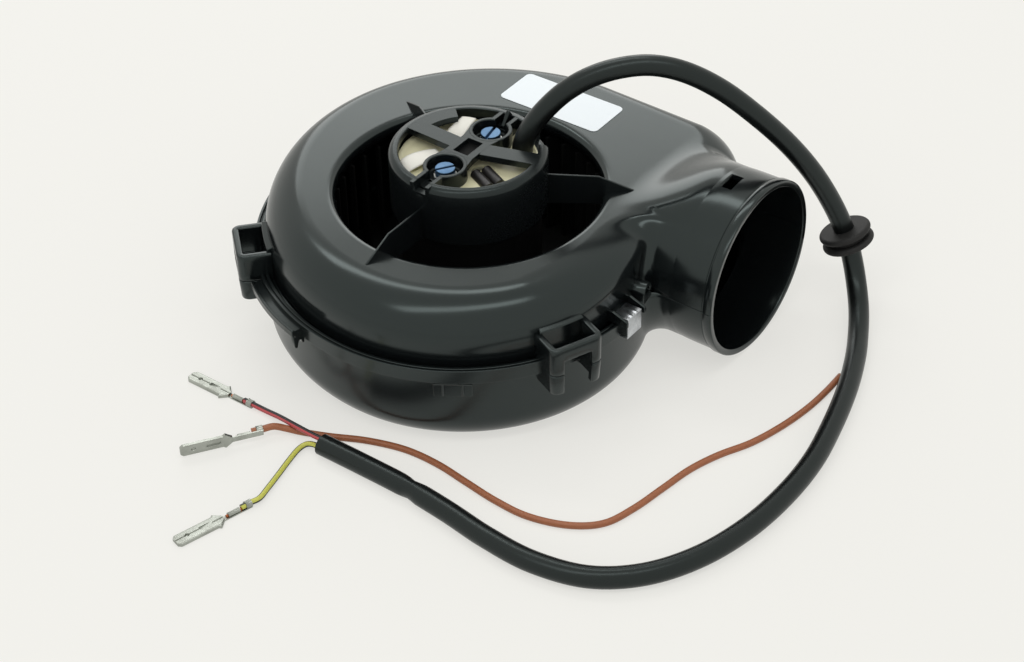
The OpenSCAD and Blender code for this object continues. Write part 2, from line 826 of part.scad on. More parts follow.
// Pointed fin that stands in the channel behind the back well
module channel_fin() {
    y0 = screw_x + well_r + 1;
    y1 = tower_r - tower_wall / 2;
    floor = tower_top - channel_depth;
    translate([-fin_t / 2, 0, 0])
        rotate([90, 0, 90])
            linear_extrude(fin_t)
                polygon([
                    [y0, floor - 1], [y1, floor - 1], [y1, tower_top - tower_edge_r],
                    [y1 - fin_t, tower_top], [y1 - 2 * fin_t, tower_top + fin_rise], [y0, floor + 1]
                ]);
}

// Upper shell with half the outlet, the tower, its spokes and the upper halves of the lugs
module upper_housing() {
    color([0.11, 0.12, 0.12])
        union() {
            difference() {
                union() {
                    shell(housing_h, shoulder_r, far_shoulder_r, far_shoulder_r, 0);
                    ramp(0);
                    half_pipe(true);
                }
                translate([0, 0, top_under - 1]) cylinder(r = inlet_r + lip_t / 2, h = wall + 2);
                ramp(outlet_wall);
                outlet_bore();
                translate([outlet_end - window_back, outlet_y, parting_z + outlet_r])
                    cube([window_len, window_w, outlet_r], center = true);
            }
            rotate_extrude()
                translate([inlet_r, housing_h - lip_h])
                    union() {
                        square([lip_t, lip_h - lip_t / 2]);
                        translate([lip_t / 2, lip_h - lip_t / 2]) circle(r = lip_t / 2, $fn = 48);
                    }
            tower();
            channel_fin();
            for (place = lug_places)
                lug_upper(place);
            for (place = clip_places)
                clip_seat(place);
            eyelet();
        }
}

// Small arched eyelet on the tongue, for a cable tie
module eyelet() {
    at_wall(eyelet_place)
        translate([seat_at(eyelet_place) - wall / 2, 0, parting_z + lug_gap + eyelet_r])
            rotate([0, 90, 0])
                difference() {
                    union() {
                        cylinder(r = eyelet_r, h = eyelet_len);
                        translate([0, -eyelet_r, 0]) cube([eyelet_r, 2 * eyelet_r, eyelet_len]);
                    }
                    translate([0, 0, wall / 2 + 1]) cylinder(r = eyelet_r / 2, h = eyelet_len);
                }
}

// Two prongs that hang from the end of the ledge
module ledge_prongs() {
    low = parting_z - ledge_t / 2;
    at_wall([0, ledge_turn[1] - prong_turn])
        translate([scroll_r, prong_t / 2, 0])
            rotate([90, 0, 0])
                linear_extrude(prong_t)
                    for (x = [rim_groove + 2, ledge_reach - prong_w - 0.5])
                        polygon([
                            [x, low + ledge_t / 2], [x, low - prong_len],
                            [x + prong_w / 2, low - prong_len], [x + prong_w, low + ledge_t / 2]
                        ]);
}

// Lower shell with the other half of the outlet, the rim, the ledge and the lower halves of the lugs
module lower_housing() {
    color([0.1, 0.11, 0.11])
        union() {
            difference() {
                union() {
                    shell(0, base_edge_r, base_edge_r, base_edge_r, lower_step);
                    half_pipe(false);
                }
                outlet_bore();
            }
            sector(scroll_c, 90, 270, rim_section(scroll_r));
            sector(tongue_c, 270, 360 + rim_end, rim_section(tongue_r));
            translate([scroll_c.x, scroll_c.y, 0])
                rotate([90, 0, 90]) linear_extrude(corner_x - scroll_x) polygon(rim_section(scroll_r));
            sector(scroll_c, ledge_turn[0], ledge_turn[1], [
                [scroll_r + rim_groove + 1, parting_z - ledge_t / 2],
                [scroll_r + ledge_reach, parting_z - ledge_t / 2],
                [scroll_r + ledge_reach, parting_z + ledge_t / 2],
                [scroll_r + rim_groove + 1, parting_z + ledge_t / 2]
            ]);
            for (place = lug_places)
                lug_lower(place);
            for (place = clip_places)
                at_wall(place)
                    translate([seat_at(place) + rim_groove, -clip_w / 2, rim_z0])
                        cube([clip_reach - rim_groove, clip_w, rim_h]);
            at_wall(snap_place)
                translate([seat_at(snap_place) + lower_step - wall / 2, -snap_w / 2, rim_z0 - snap_h])
                    union() {
                        difference() {
                            cube([snap_t + wall / 2, snap_w, snap_h + groove_drop]);
                            translate([wall / 2 + snap_t / 2, snap_w / 4, -1])
                                cube([snap_t, snap_w / 2, snap_h - 2 * snap_shelf_t + 1]);
                        }
                        translate([0, 0, snap_h - 2 * snap_shelf_t])
                            cube([snap_t + wall / 2 + snap_shelf, snap_w, snap_shelf_t]);
                    }
            ledge_prongs();
        }
}

// Blank label on the flat top
module label() {
    color([0.92, 0.94, 0.95])
        translate([label_x - label_len / 2, label_y - label_w / 2, housing_h])
            linear_extrude(label_t)
                union() {
                    translate([label_r, 0]) square([label_len - 2 * label_r, label_w]);
                    translate([0, label_r]) square([label_len, label_w - 2 * label_r]);
                    for (x = [label_r, label_len - label_r], y = [label_r, label_w - label_r])
                        translate([x, y]) circle(r = label_r, $fn = 32);
                }
}

// Steel clips that hold the shells together
module housing_clips() {
    color([0.82, 0.84, 0.86])
        for (place = clip_places)
            clip(place);
}

// Steel can of the motor with its formed bearing seat
module motor_can() {
    color([0.16, 0.16, 0.17])
        rotate_extrude()
            polygon([
                [can_in, can_top], [can_r, can_top], [can_r, can_low + can_wall],
                [can_r - can_wall, can_low], [seat_r, can_low], [seat_r, seat_low],
                [shaft_r + shaft_room, seat_low], [shaft_r + shaft_room, bearing_low],
                [bearing_r, bearing_low], [bearing_r, can_low + can_wall], [can_in, can_low + can_wall]
            ]);
}

// Two ferrite segments on the can's inner wall
module magnets() {
    color([0.25, 0.24, 0.24])
        for (a = [90, 270])
            sector([0, 0], a - magnet_angle / 2, a + magnet_angle / 2, [
                [core_r + air_gap, core_low - magnet_over], [can_in, core_low - magnet_over],
                [can_in, core_low + core_len + magnet_over],
                [core_r + air_gap, core_low + core_len + magnet_over]
            ]);
}

// Cream moulding that carries the brushes, closes the can and takes the two screws
module brush_plate() {
    post_h = post_top - can_top;
    color([0.87, 0.83, 0.66])
        difference() {
            union() {
                translate([0, 0, can_top]) cylinder(r = can_r - plate_gap, h = brush_plate_t);
                translate([0, 0, upper_bearing_low - boss_floor])
                    cylinder(r = bearing_r + boss_wall, h = bearing_len + boss_floor);
                for (side = [-1, 1])
                    translate([0, side * screw_x, can_top]) cylinder(r = well_r - post_inset, h = post_h);
                rotate([0, 0, cable_angle])
                    translate([cable_r - cable_block / 2, -cable_block / 2, can_top])
                        cube([cable_block, cable_block, sleeve_route[0].z - can_top]);
                for (a = block_angles)
                    rotate([0, 0, a])
                        translate([block_in, -block_w / 2, can_top])
                            cube([block_len, block_w, block_top - can_top]);
                rotate([0, 0, choke_angle])
                    translate([choke_in - choke_pad, -2 * choke_r, can_top])
                        cube([choke_len + 2 * choke_pad, 4 * choke_r, choke_seat - can_top]);
            }
            translate([0, 0, upper_bearing_low]) cylinder(r = bearing_r, h = 2 * bearing_len);
            translate([0, 0, upper_bearing_low - 2 * boss_floor])
                cylinder(r = shaft_r + shaft_room, h = 3 * boss_floor);
            for (side = [-1, 1])
                translate([0, side * screw_x, can_top - brush_plate_t])
                    cylinder(r = shank_r, h = post_h + 2 * brush_plate_t);
        }
}

// Two brass boxes that guide the brushes
module brush_holders() {
    side_y = brush_w / 2 + brush_gap;
    side_z = brush_h / 2 + brush_gap;
    run = holder_out - holder_in;
    color([0.78, 0.62, 0.3])
        for (turn = [0, 180])
            rotate([0, 0, turn])
                difference() {
                    translate([holder_in, -side_y - holder_wall, brush_z - side_z - holder_wall])
                        cube([run, 2 * (side_y + holder_wall), can_top - brush_z + side_z + holder_wall]);
                    translate([holder_in - holder_wall, -side_y, brush_z - side_z])
                        cube([run, 2 * side_y, 2 * side_z]);
                }
}

// Carbon brush, hollowed to the commutator
module brush() {
    color([0.2, 0.2, 0.2])
        difference() {
            translate([commutator_r - bar_depth, -brush_w / 2, brush_z - brush_h / 2])
                cube([brush_out - commutator_r + bar_depth, brush_w, brush_h]);
            translate([0, 0, brush_z - brush_h]) cylinder(r = brush_in, h = 2 * brush_h);
        }
}

// Brush on the outlet side
module brush_right() {
    brush();
}

// Brush on the far side
module brush_left() {
    rotate([0, 0, 180]) brush();
}

// Coil spring behind a brush, from the brush to the holder's end
module spring() {
    run = holder_out - holder_wall - brush_out - brush_gap;
    turns = spring_turns;
    steps = turns * spring_steps;
    coil = [
        for (i = [0:steps])
            let (a = 360 * i / spring_steps)
                [
                    brush_out + brush_gap + spring_wire / 2 + (run - spring_wire) * i / steps,
                    spring_r * cos(a), brush_z + spring_r * sin(a)
                ]
    ];
    color([0.7, 0.7, 0.72]) tube(coil, spring_wire, 6);
}

// Spring of the brush on the outlet side
module spring_right() {
    spring();
}

// Spring of the brush on the far side
module spring_left() {
    rotate([0, 0, 180]) spring();
}

// Suppression chokes on the brush plate
module chokes() {
    color([0.12, 0.11, 0.11])
        rotate([0, 0, choke_angle])
            for (side = [-1, 1])
                translate([choke_in, side * (choke_r + choke_gap / 2), choke_seat + choke_r])
                    rotate([0, 90, 0])
                        difference() {
                            cylinder(r = choke_r, h = choke_len, $fn = 32);
                            translate([0, 0, -choke_bore])
                                cylinder(r = choke_r / 3, h = 2 * choke_bore, $fn = 24);
                        }
}

// Sintered bearing, from height z
module bearing(z) {
    color([0.62, 0.5, 0.34])
        translate([0, 0, z])
            difference() {
                cylinder(r = bearing_r, h = bearing_len);
                translate([0, 0, -1]) cylinder(r = shaft_r + shaft_gap, h = bearing_len + 2);
            }
}

// Bearing in the brush plate
module upper_bearing() {
    bearing(upper_bearing_low);
}

// Bearing in the can's seat
module lower_bearing() {
    bearing(bearing_low);
}

// Spring washers that keep the bearings in their seats
module bearing_retainers() {
    color([0.7, 0.71, 0.73])
        for (z = [upper_bearing_top, bearing_low + bearing_len])
            translate([0, 0, z])
                difference() {
                    cylinder(r = bearing_r + retainer_lap, h = retainer_t);
                    translate([0, 0, -1]) cylinder(r = shaft_r + shaft_room, h = retainer_t + 2);
                }
}

// Two slotted cheese-head screws through the tower into the brush plate
module motor_screws() {
    color([0.35, 0.55, 0.85])
        for (side = [-1, 1])
            translate([0, side * screw_x, well_floor + washer_t])
                difference() {
                    union() {
                        cylinder(r = head_r, h = head_h);
                        translate([0, 0, -shank_len]) cylinder(r = shank_r, h = shank_len + eps);
                    }
                    rotate([0, 0, side > 0 ? slot_turn[0] : slot_turn[1]])
                        translate([-2 * head_r, -slot_w / 2, head_h / 2])
                            cube([4 * head_r, slot_w, head_h]);
                }
}

// Split lock washers under the screw heads
module lock_washers() {
    color([0.8, 0.81, 0.82])
        for (side = [-1, 1])
            translate([0, side * screw_x, well_floor])
                difference() {
                    cylinder(r = head_r + washer_over, h = washer_t);
                    translate([0, 0, -1]) cylinder(r = shank_r + washer_room, h = washer_t + 2);
                    rotate([0, 0, split_turn])
                        translate([0, -split_w / 2, -1]) cube([2 * head_r, split_w, washer_t + 2]);
                }
}

// Motor shaft
module shaft() {
    color([0.75, 0.76, 0.78])
        translate([0, 0, shaft_low])
            union() {
                translate([0, 0, shaft_chamfer])
                    cylinder(r = shaft_r, h = shaft_top - shaft_low - 2 * shaft_chamfer);
                cylinder(r1 = shaft_r - shaft_chamfer, r2 = shaft_r, h = shaft_chamfer);
                translate([0, 0, shaft_top - shaft_low - shaft_chamfer])
                    cylinder(r1 = shaft_r, r2 = shaft_r - shaft_chamfer, h = shaft_chamfer);
            }
}

// Laminated core with T-shaped teeth
module armature_core() {
    color([0.42, 0.43, 0.45])
        translate([0, 0, core_low])
            linear_extrude(core_len)
                difference() {
                    circle(r = core_r);
                    circle(r = shaft_r);
                    for (i = [0:core_slots - 1])
                        rotate([0, 0, (i + 0.5) * 360 / core_slots]) {
                            translate([slot_c, 0]) circle(r = slot_r);
                            translate([slot_c, -slot_mouth / 2]) square([core_r, slot_mouth]);
                        }
                }
}

// Section of a ring of end turns, from its inner edge
module end_turns() {
    run = slot_c + slot_r - winding_in;
    high = winding_h - winding_gap;
    translate([0, winding_edge]) square([run, high - 2 * winding_edge]);
    translate([winding_edge, 0]) square([run - 2 * winding_edge, high]);
    for (x = [winding_edge, run - winding_edge], y = [winding_edge, high - winding_edge])
        translate([x, y]) circle(r = winding_edge, $fn = 32);
}

// Copper coils: bars in the slots between two rings of end turns
module armature_windings() {
    color([0.72, 0.4, 0.2])
        union() {
            for (i = [0:core_slots - 1])
                rotate([0, 0, (i + 0.5) * 360 / core_slots])
                    translate([slot_c, 0, core_low - 1])
                        cylinder(r = slot_r - coil_gap, h = core_len + 2, $fn = 24);
            for (z = [core_low - winding_h, core_low + core_len + winding_gap])
                translate([0, 0, z])
                    rotate_extrude() translate([winding_in, 0]) end_turns();
        }
}

// Commutator with the gaps between its bars
module commutator() {
    color([0.7, 0.45, 0.28])
        translate([0, 0, commutator_low])
            difference() {
                cylinder(r = commutator_r, h = commutator_h);
                translate([0, 0, -1]) cylinder(r = shaft_r, h = commutator_h + 2);
                for (i = [0:commutator_bars - 1])
                    rotate([0, 0, i * 360 / commutator_bars])
                        translate([commutator_r - bar_depth, -bar_gap / 2, -1])
                            cube([2 * bar_depth, bar_gap, commutator_h + 2]);
            }
}

// Washers that take the rotor's end thrust
module thrust_washers() {
    color([0.55, 0.5, 0.42])
        for (z = [bearing_low + bearing_len + retainer_t + washer_gap, commutator_top + washer_gap])
            translate([0, 0, z])
                difference() {
                    cylinder(r = shaft_r + thrust_lap, h = thrust_t);
                    translate([0, 0, -1]) cylinder(r = shaft_r, h = thrust_t + 2);
                }
}

// Plan of one forward-curved blade
function blade_side(sign) = [
    for (i = [0:blade_steps])
        let (
            t = i / blade_steps,
            r = fan_in_r + (fan_r - blade_inset - fan_in_r) * t,
            a = -blade_turn * t * t + sign * blade_t / 2 / r * 180 / PI
        )
        [r * cos(a), r * sin(a)]
];

// Squirrel-cage impeller: hub, dished floor, blades and top ring
module impeller() {
    color([0.09, 0.09, 0.1])
        union() {
            rotate_extrude()
                polygon([
                    [shaft_r, hub_low], [hub_r, hub_low], [hub_r + hub_slope, fan_low], [fan_r, fan_low],
                    [fan_r, fan_low + fan_t], [hub_r, fan_low + fan_t], [hub_r, hub_top],
                    [shaft_r, hub_top]
                ]);
            translate([0, 0, fan_top - fan_t])
                difference() {
                    cylinder(r = fan_r, h = fan_t);
                    translate([0, 0, -1]) cylinder(r = fan_r - fan_ring, h = fan_t + 2);
                }
            translate([0, 0, fan_low + fan_t / 2])
                linear_extrude(fan_top - fan_low - fan_t)
                    for (i = [0:blade_count - 1])
                        rotate([0, 0, i * 360 / blade_count])
                            polygon(concat(blade_side(-1), reversed(blade_side(1))));
        }
}

// Push-on clip that keeps the impeller on the shaft
module impeller_clip() {
    color([0.72, 0.73, 0.75])
        translate([0, 0, hub_low - clip_t])
            difference() {
                cylinder(r = hub_r - ring_inset, h = clip_t);
                translate([0, 0, -1]) cylinder(r = shaft_r, h = clip_t + 2);
            }
}

// Black sleeve over the three wires
module cable_sleeve() {
    color([0.07, 0.07, 0.07]) tube(sleeve_route, sleeve_d, 10);
}

// Double-flanged grommet on the sleeve
module cable_grommet() {
    along = heading(sleeve_route, grommet_at);
    color([0.1, 0.1, 0.1])
        translate(sleeve_route[grommet_at])
            rotate([0, acos(along.z), atan2(along.y, along.x)])
                translate([0, 0, -grommet_len / 2])
                    rotate_extrude()
                        difference() {
                            union() {
                                square([grommet_r - grommet_waist, grommet_len]);
                                for (y = [grommet_edge, grommet_len - grommet_edge]) {
                                    translate([grommet_r - grommet_edge, y])
                                        circle(r = grommet_edge, $fn = 32);
                                    translate([0, y - grommet_edge])
                                        square([grommet_r - grommet_edge, 2 * grommet_edge]);
                                }
                            }
                            translate([-1, -1]) square([sleeve_d / 2 + 1, grommet_len + 2]);
                            translate([-grommet_r, -1]) square([grommet_r, grommet_len + 2]);
                        }
}

// Wires out of the sleeve
module brown_wire() {
    color([0.55, 0.3, 0.16]) tube(brown_route, brown_d, 8);
}

module red_wire() {
    color([0.75, 0.25, 0.27]) tube(red_route, wire_d, 8);
}

module yellow_wire() {
    color([0.78, 0.78, 0.28]) tube(yellow_route, wire_d, 8);
}

// Folded blade terminal, crimped to the end of a wire of diameter d and rolled about it
module terminal(route, d, roll) {
    last = len(route) - 1;
    along = heading(route, last);
    grip = d / 2 + crimp_t;
    blade = grip_len + neck_len;
    half = tab_w / 2;
    color([0.8, 0.81, 0.8])
        translate(route[last])
            rotate([0, -asin(along.z), atan2(along.y, along.x)])
                rotate([roll, 0, 0])
                    union() {
                        rotate([0, 90, 0]) cylinder(r = grip, h = grip_len / 3, $fn = 32);
                        translate([0, -d / 2, -grip]) cube([grip_len, d, crimp_share * d]);
                        translate([grip_len - eps, -d / 2, -grip])
                            cube([neck_len + 2 * eps, d, tab_fold / 2]);
                        translate([blade, 0, -grip])
                            linear_extrude(tab_fold)
                                difference() {
                                    polygon([
                                        [0, -d / 2], [barb_x, -half - barb_w], [barb_x + 1, -half],
                                        [tab_len - tab_point, -half], [tab_len, -half + tab_point],
                                        [tab_len, half - tab_point], [tab_len - tab_point, half],
                                        [barb_x + 1, half], [barb_x, half + barb_w], [0, d / 2]
                                    ]);
                                    translate([tab_len - dimple_back, 0]) circle(r = dimple_r, $fn = 24);
                                    translate([barb_x + 2, -lance_w / 2]) square([lance_len, lance_w]);
                                }
                    }
}

// Terminal on the brown wire, lying on its edge
module brown_terminal() {
    terminal(brown_route, brown_d, 80);
}

module red_terminal() {
    terminal(red_route, wire_d, 0);
}

module yellow_terminal() {
    terminal(yellow_route, wire_d, 0);
}

upper_housing();
lower_housing();
housing_clips();
label();
motor_can();
magnets();
brush_plate();
brush_holders();
brush_left();
brush_right();
spring_left();
spring_right();
chokes();
upper_bearing();
lower_bearing();
bearing_retainers();
motor_screws();
lock_washers();
shaft();
armature_core();
armature_windings();
commutator();
thrust_washers();
impeller();
impeller_clip();
cable_sleeve();
cable_grommet();
brown_wire();
red_wire();
yellow_wire();
brown_terminal();
red_terminal();
yellow_terminal();
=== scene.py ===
import bpy
import numpy as np
from mathutils import Matrix, Vector


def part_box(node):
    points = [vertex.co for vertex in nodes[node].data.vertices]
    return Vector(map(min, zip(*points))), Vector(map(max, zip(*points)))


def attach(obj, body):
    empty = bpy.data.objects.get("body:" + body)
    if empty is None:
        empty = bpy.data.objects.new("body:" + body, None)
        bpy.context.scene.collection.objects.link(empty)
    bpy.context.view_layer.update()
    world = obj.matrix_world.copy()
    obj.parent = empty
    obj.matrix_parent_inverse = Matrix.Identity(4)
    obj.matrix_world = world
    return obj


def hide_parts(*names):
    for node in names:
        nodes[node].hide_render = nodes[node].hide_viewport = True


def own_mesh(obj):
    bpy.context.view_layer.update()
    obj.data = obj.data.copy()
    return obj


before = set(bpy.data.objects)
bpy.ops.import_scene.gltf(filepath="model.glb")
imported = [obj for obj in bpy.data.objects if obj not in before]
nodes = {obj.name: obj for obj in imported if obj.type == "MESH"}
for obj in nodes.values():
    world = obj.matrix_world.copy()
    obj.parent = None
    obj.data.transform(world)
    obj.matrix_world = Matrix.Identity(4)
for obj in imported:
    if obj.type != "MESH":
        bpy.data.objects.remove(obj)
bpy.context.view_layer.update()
scene = bpy.context.scene
scene.view_settings.view_transform = "Standard"
mm = 0.001
up = (0.0, 0.0, 1.0)
print("frame loaded,", len(nodes), "nodes")


# a socket of a node tree: + - * on it add Math nodes, node() adds anything else
class Wire:
    def __init__(self, tree, socket):
        self.tree = tree
        self.socket = socket

    def node(self, kind, sockets, out=0, **settings):
        made = self.tree.nodes.new(kind)
        for key, value in settings.items():
            setattr(made, key, value)
        for key, value in sockets.items():
            if isinstance(value, Wire):
                self.tree.links.new(value.socket, made.inputs[key])
            else:
                made.inputs[key].default_value = value
        return Wire(self.tree, made.outputs[out])

    def into(self, shader, name):
        self.tree.links.new(self.socket, shader.inputs[name])

    def maths(self, operation, first, second):
        return self.node("ShaderNodeMath", {0: first, 1: second}, operation=operation)

    def __add__(self, other):
        return self.maths("ADD", self, other)

    def __sub__(self, other):
        return self.maths("SUBTRACT", self, other)

    def __rsub__(self, other):
        return self.maths("SUBTRACT", other, self)

    def __mul__(self, other):
        return self.maths("MULTIPLY", self, other)

    __radd__ = __add__

    # 0 below low, 1 above high, straight between
    def between(self, low, high):
        return self.node("ShaderNodeMapRange", {0: self, 1: low, 2: high}, clamp=True)

    # this mask chooses between two colours
    def blend(self, first, second):
        return self.node("ShaderNodeMix", {0: self, 6: first, 7: second}, 2, data_type="RGBA")

    def noise(self, scale, detail=2.0, rough=0.5):
        sockets = {"Vector": self, "Scale": scale, "Detail": detail, "Roughness": rough}
        return self.node("ShaderNodeTexNoise", sockets, "Fac")

    def stretched(self, scale):
        return self.node("ShaderNodeMapping", {"Vector": self, "Scale": scale})

    def part(self, axis):
        return self.node("ShaderNodeSeparateXYZ", {0: self}, axis)

    def bump(self, strength, distance):
        return self.node("ShaderNodeBump", {"Strength": strength, "Distance": distance, "Height": self}, "Normal")


white = (1, 1, 1, 1)
blackTint = (0.84, 1.0, 0.98, 1)


# an empty finish: material, its shader, and the Object coordinates to draw on
def startFinish(name, metallic=0.0, specular=0.5, tint=white):
    material = bpy.data.materials.new(name)
    material.use_nodes = True
    tree = material.node_tree
    tree.nodes.clear()
    output = tree.nodes.new("ShaderNodeOutputMaterial")
    shader = tree.nodes.new("ShaderNodeBsdfPrincipled")
    tree.links.new(shader.outputs[0], output.inputs[0])
    shader.inputs["Metallic"].default_value = metallic
    shader.inputs["Specular IOR Level"].default_value = specular
    shader.inputs["Specular Tint"].default_value = tint
    coords = Wire(tree, tree.nodes.new("ShaderNodeTexCoord").outputs["Object"])
    return material, shader, coords


# a screen colour out of 255 as linear light
def linear(*shade):
    shade = np.array(shade) / 255
    shade = np.where(shade < 0.04045, shade / 12.92, ((shade + 0.055) / 1.055) ** 2.4)
    return (*[float(x) for x in shade], 1.0)


mouldedSet = {"drift": (18, 3), "fine": (1400, 2, 0.6), "specks": (420, 5, 0.75), "worn": (30, 2), "waves": (160, 2),
              "speckEdge": (0.66, 0.78), "wornEdge": (0.5, 0.75), "depth": 0.00025}


# moulded plastic: spark-eroded grain, a slow drift of shade and gloss, and specks rubbed bright
def moulded(name, dark, light, roughness, grain, specular=0.5, tint=white):
    s = mouldedSet
    material, shader, coords = startFinish(name, specular=specular, tint=tint)
    drift, fine, waves = (coords.noise(*s[key]) for key in ("drift", "fine", "waves"))
    specks = coords.noise(*s["specks"]).between(*s["speckEdge"])
    wear = specks * coords.noise(*s["worn"]).between(*s["wornEdge"])
    drift.blend(linear(*dark), linear(*light)).into(shader, "Base Color")
    (roughness + (drift - 0.5) * 0.14 + fine * 0.05 - wear * 0.06).into(shader, "Roughness")
    (fine * 0.6 + waves * 0.8).bump(grain, s["depth"]).into(shader, "Normal")
    return material


shellBlack = moulded("shellBlack", (13, 16, 17), (18, 21, 22), 0.16, 0.02, 0.5, blackTint)
baseBlack = moulded("baseBlack", (13, 16, 17), (18, 21, 22), 0.2, 0.03, 0.54, blackTint)
towerBlack = moulded("towerBlack", (14, 17, 18), (20, 23, 24), 0.24, 0.03, 0.4, blackTint)
fanBlack = moulded("fanBlack", (10, 11, 11), (15, 16, 16), 0.62, 0.12, 0.15)
canBlack = moulded("canBlack", (11, 11, 12), (16, 16, 17), 0.45, 0.08, 0.3)
# darker and duller than the tower's black, for the sheet on the pocket's floor: painted shade of the recess
pocketPaintedShade = moulded("pocketPaintedShade", (7, 8, 8), (11, 12, 12), 0.6, 0.1, 0.1)
creamPlastic = moulded("creamPlastic", (222, 217, 176), (234, 230, 196), 0.36, 0.08)
ferriteGrey = moulded("ferriteGrey", (52, 51, 52), (66, 65, 66), 0.55, 0.3)
carbonGrey = moulded("carbonGrey", (40, 40, 42), (58, 58, 60), 0.5, 0.25)
fibreBrown = moulded("fibreBrown", (120, 86, 60), (150, 112, 80), 0.7, 0.3)
chokeBlack = moulded("chokeBlack", (20, 19, 19), (32, 30, 30), 0.4, 0.2)
labelWhite = moulded("labelWhite", (232, 240, 243), (240, 246, 248), 0.34, 0.02)
tapeWhite = moulded("tapeWhite", (236, 234, 222), (246, 244, 234), 0.5, 0.08)


# glossy soft vinyl of the sleeve: long shallow waves, dull scuffs
def makeVinyl():
    material, shader, coords = startFinish("sleeveVinyl", specular=0.4, tint=blackTint)
    waves = coords.noise(55, 3)
    scuffs = coords.stretched((1, 1, 3)).noise(260, 4, 0.7).between(0.55, 0.75)
    waves.blend(linear(11, 12, 12), linear(17, 18, 18)).into(shader, "Base Color")
    (0.24 + waves * 0.1 + scuffs * 0.16).into(shader, "Roughness")
    (waves + coords.noise(700, 2) * 0.12).bump(0.18, 0.0008).into(shader, "Normal")
    return material


# matt rubber of the grommet: bloom and fine pits
def makeRubber():
    material, shader, coords = startFinish("grommetRubber", specular=0.35)
    bloom = coords.noise(90, 4, 0.6)
    bloom.blend(linear(22, 22, 22), linear(36, 36, 35)).into(shader, "Base Color")
    (0.55 + bloom * 0.2).into(shader, "Roughness")
    (coords.noise(1500, 2) + bloom).bump(0.25, 0.0002).into(shader, "Normal")
    return material


# wire insulation: one colour and a stripe along one side; the piece's map gives the way round it
def insulation(name, main, stripe, middle, width, fade=0.02, shadow=0.82):
    material, shader, coords = startFinish(name)
    around = Wire(coords.tree, coords.tree.nodes.new("ShaderNodeTexCoord").outputs["UV"]).part("Y")
    side = around.maths("PINGPONG", around - middle, 0.5)
    mottle = coords.noise(300, 3)
    main = linear(*main)
    tint = mottle.blend(main, [shadow * x for x in main[:3]] + [1])
    (1 - side.between(width, width + fade)).blend(tint, linear(*stripe)).into(shader, "Base Color")
    (0.34 + mottle * 0.16).into(shader, "Roughness")
    coords.noise(500, 3).bump(0.12, 0.0003).into(shader, "Normal")
    return material


# plated or bare metal: drawn scratches along one way, stains, and a tint
def metal(name, bright, dull, roughness, lines=(1, 1, 1), scale=700):
    material, shader, coords = startFinish(name, metallic=1.0)
    drawn = coords.stretched(lines).noise(scale, 4, 0.6)
    stain = coords.noise(130, 4, 0.6)
    stain.between(0.3, 0.75).blend(linear(*bright), linear(*dull)).into(shader, "Base Color")
    (roughness + drawn * 0.16 + stain.between(0.5, 0.8) * 0.12).into(shader, "Roughness")
    drawn.bump(0.12, 0.0002).into(shader, "Normal")
    return material


sleeveVinyl = makeVinyl()
grommetRubber = makeRubber()
brownSkin = insulation("brownSkin", (172, 106, 70), (158, 94, 60), 0.5, 0.1)
redSkin = insulation("redSkin", (206, 82, 86), (34, 31, 33), 0.31, 0.18)
yellowSkin = insulation("yellowSkin", (46, 50, 36), (206, 206, 92), 0.095, 0.137)
tinned = metal("tinned", (178, 182, 175), (146, 149, 142), 0.3, scale=900)
springSteel = metal("springSteel", (218, 222, 226), (176, 180, 184), 0.2, (12, 12, 1), 500)
zincPlate = metal("zincPlate", (205, 208, 206), (168, 170, 166), 0.3, scale=800)
bronze = metal("bronze", (158, 122, 78), (112, 84, 52), 0.42, scale=1200)
brass = metal("brass", (206, 170, 96), (164, 128, 66), 0.3, (1, 1, 14))
copper = metal("copper", (206, 124, 78), (150, 82, 48), 0.3, (1, 1, 16), 500)
blueZinc = metal("blueZinc", (100, 130, 160), (74, 104, 136), 0.34)
coreSteel = metal("coreSteel", (120, 118, 116), (84, 82, 80), 0.4, (1, 1, 30), 500)
shaftSteel = metal("shaftSteel", (206, 208, 210), (170, 172, 175), 0.18, (1, 1, 30), 400)


# quads of a grid of rows by columns, joined round the rows and the columns where asked
def gridFaces(rows, columns, closeRows=False, closeColumns=True):
    a = np.arange(rows if closeRows else rows - 1)
    b = np.arange(columns if closeColumns else columns - 1)
    i, j = np.meshgrid(a, b, indexing="ij")
    k, l = (i + 1) % rows, (j + 1) % columns
    return np.stack([i * columns + j, k * columns + j, k * columns + l, i * columns + l], -1).reshape(-1, 4)


# edges sharper than an angle rounded: width in millimetres, steps, angle
def addBevel(piece, width, steps, angle=40):
    edge = piece.modifiers.new("edge", "BEVEL")
    edge.width = width * mm
    edge.segments = steps
    edge.limit_method = "ANGLE"
    edge.angle_limit = np.radians(angle)


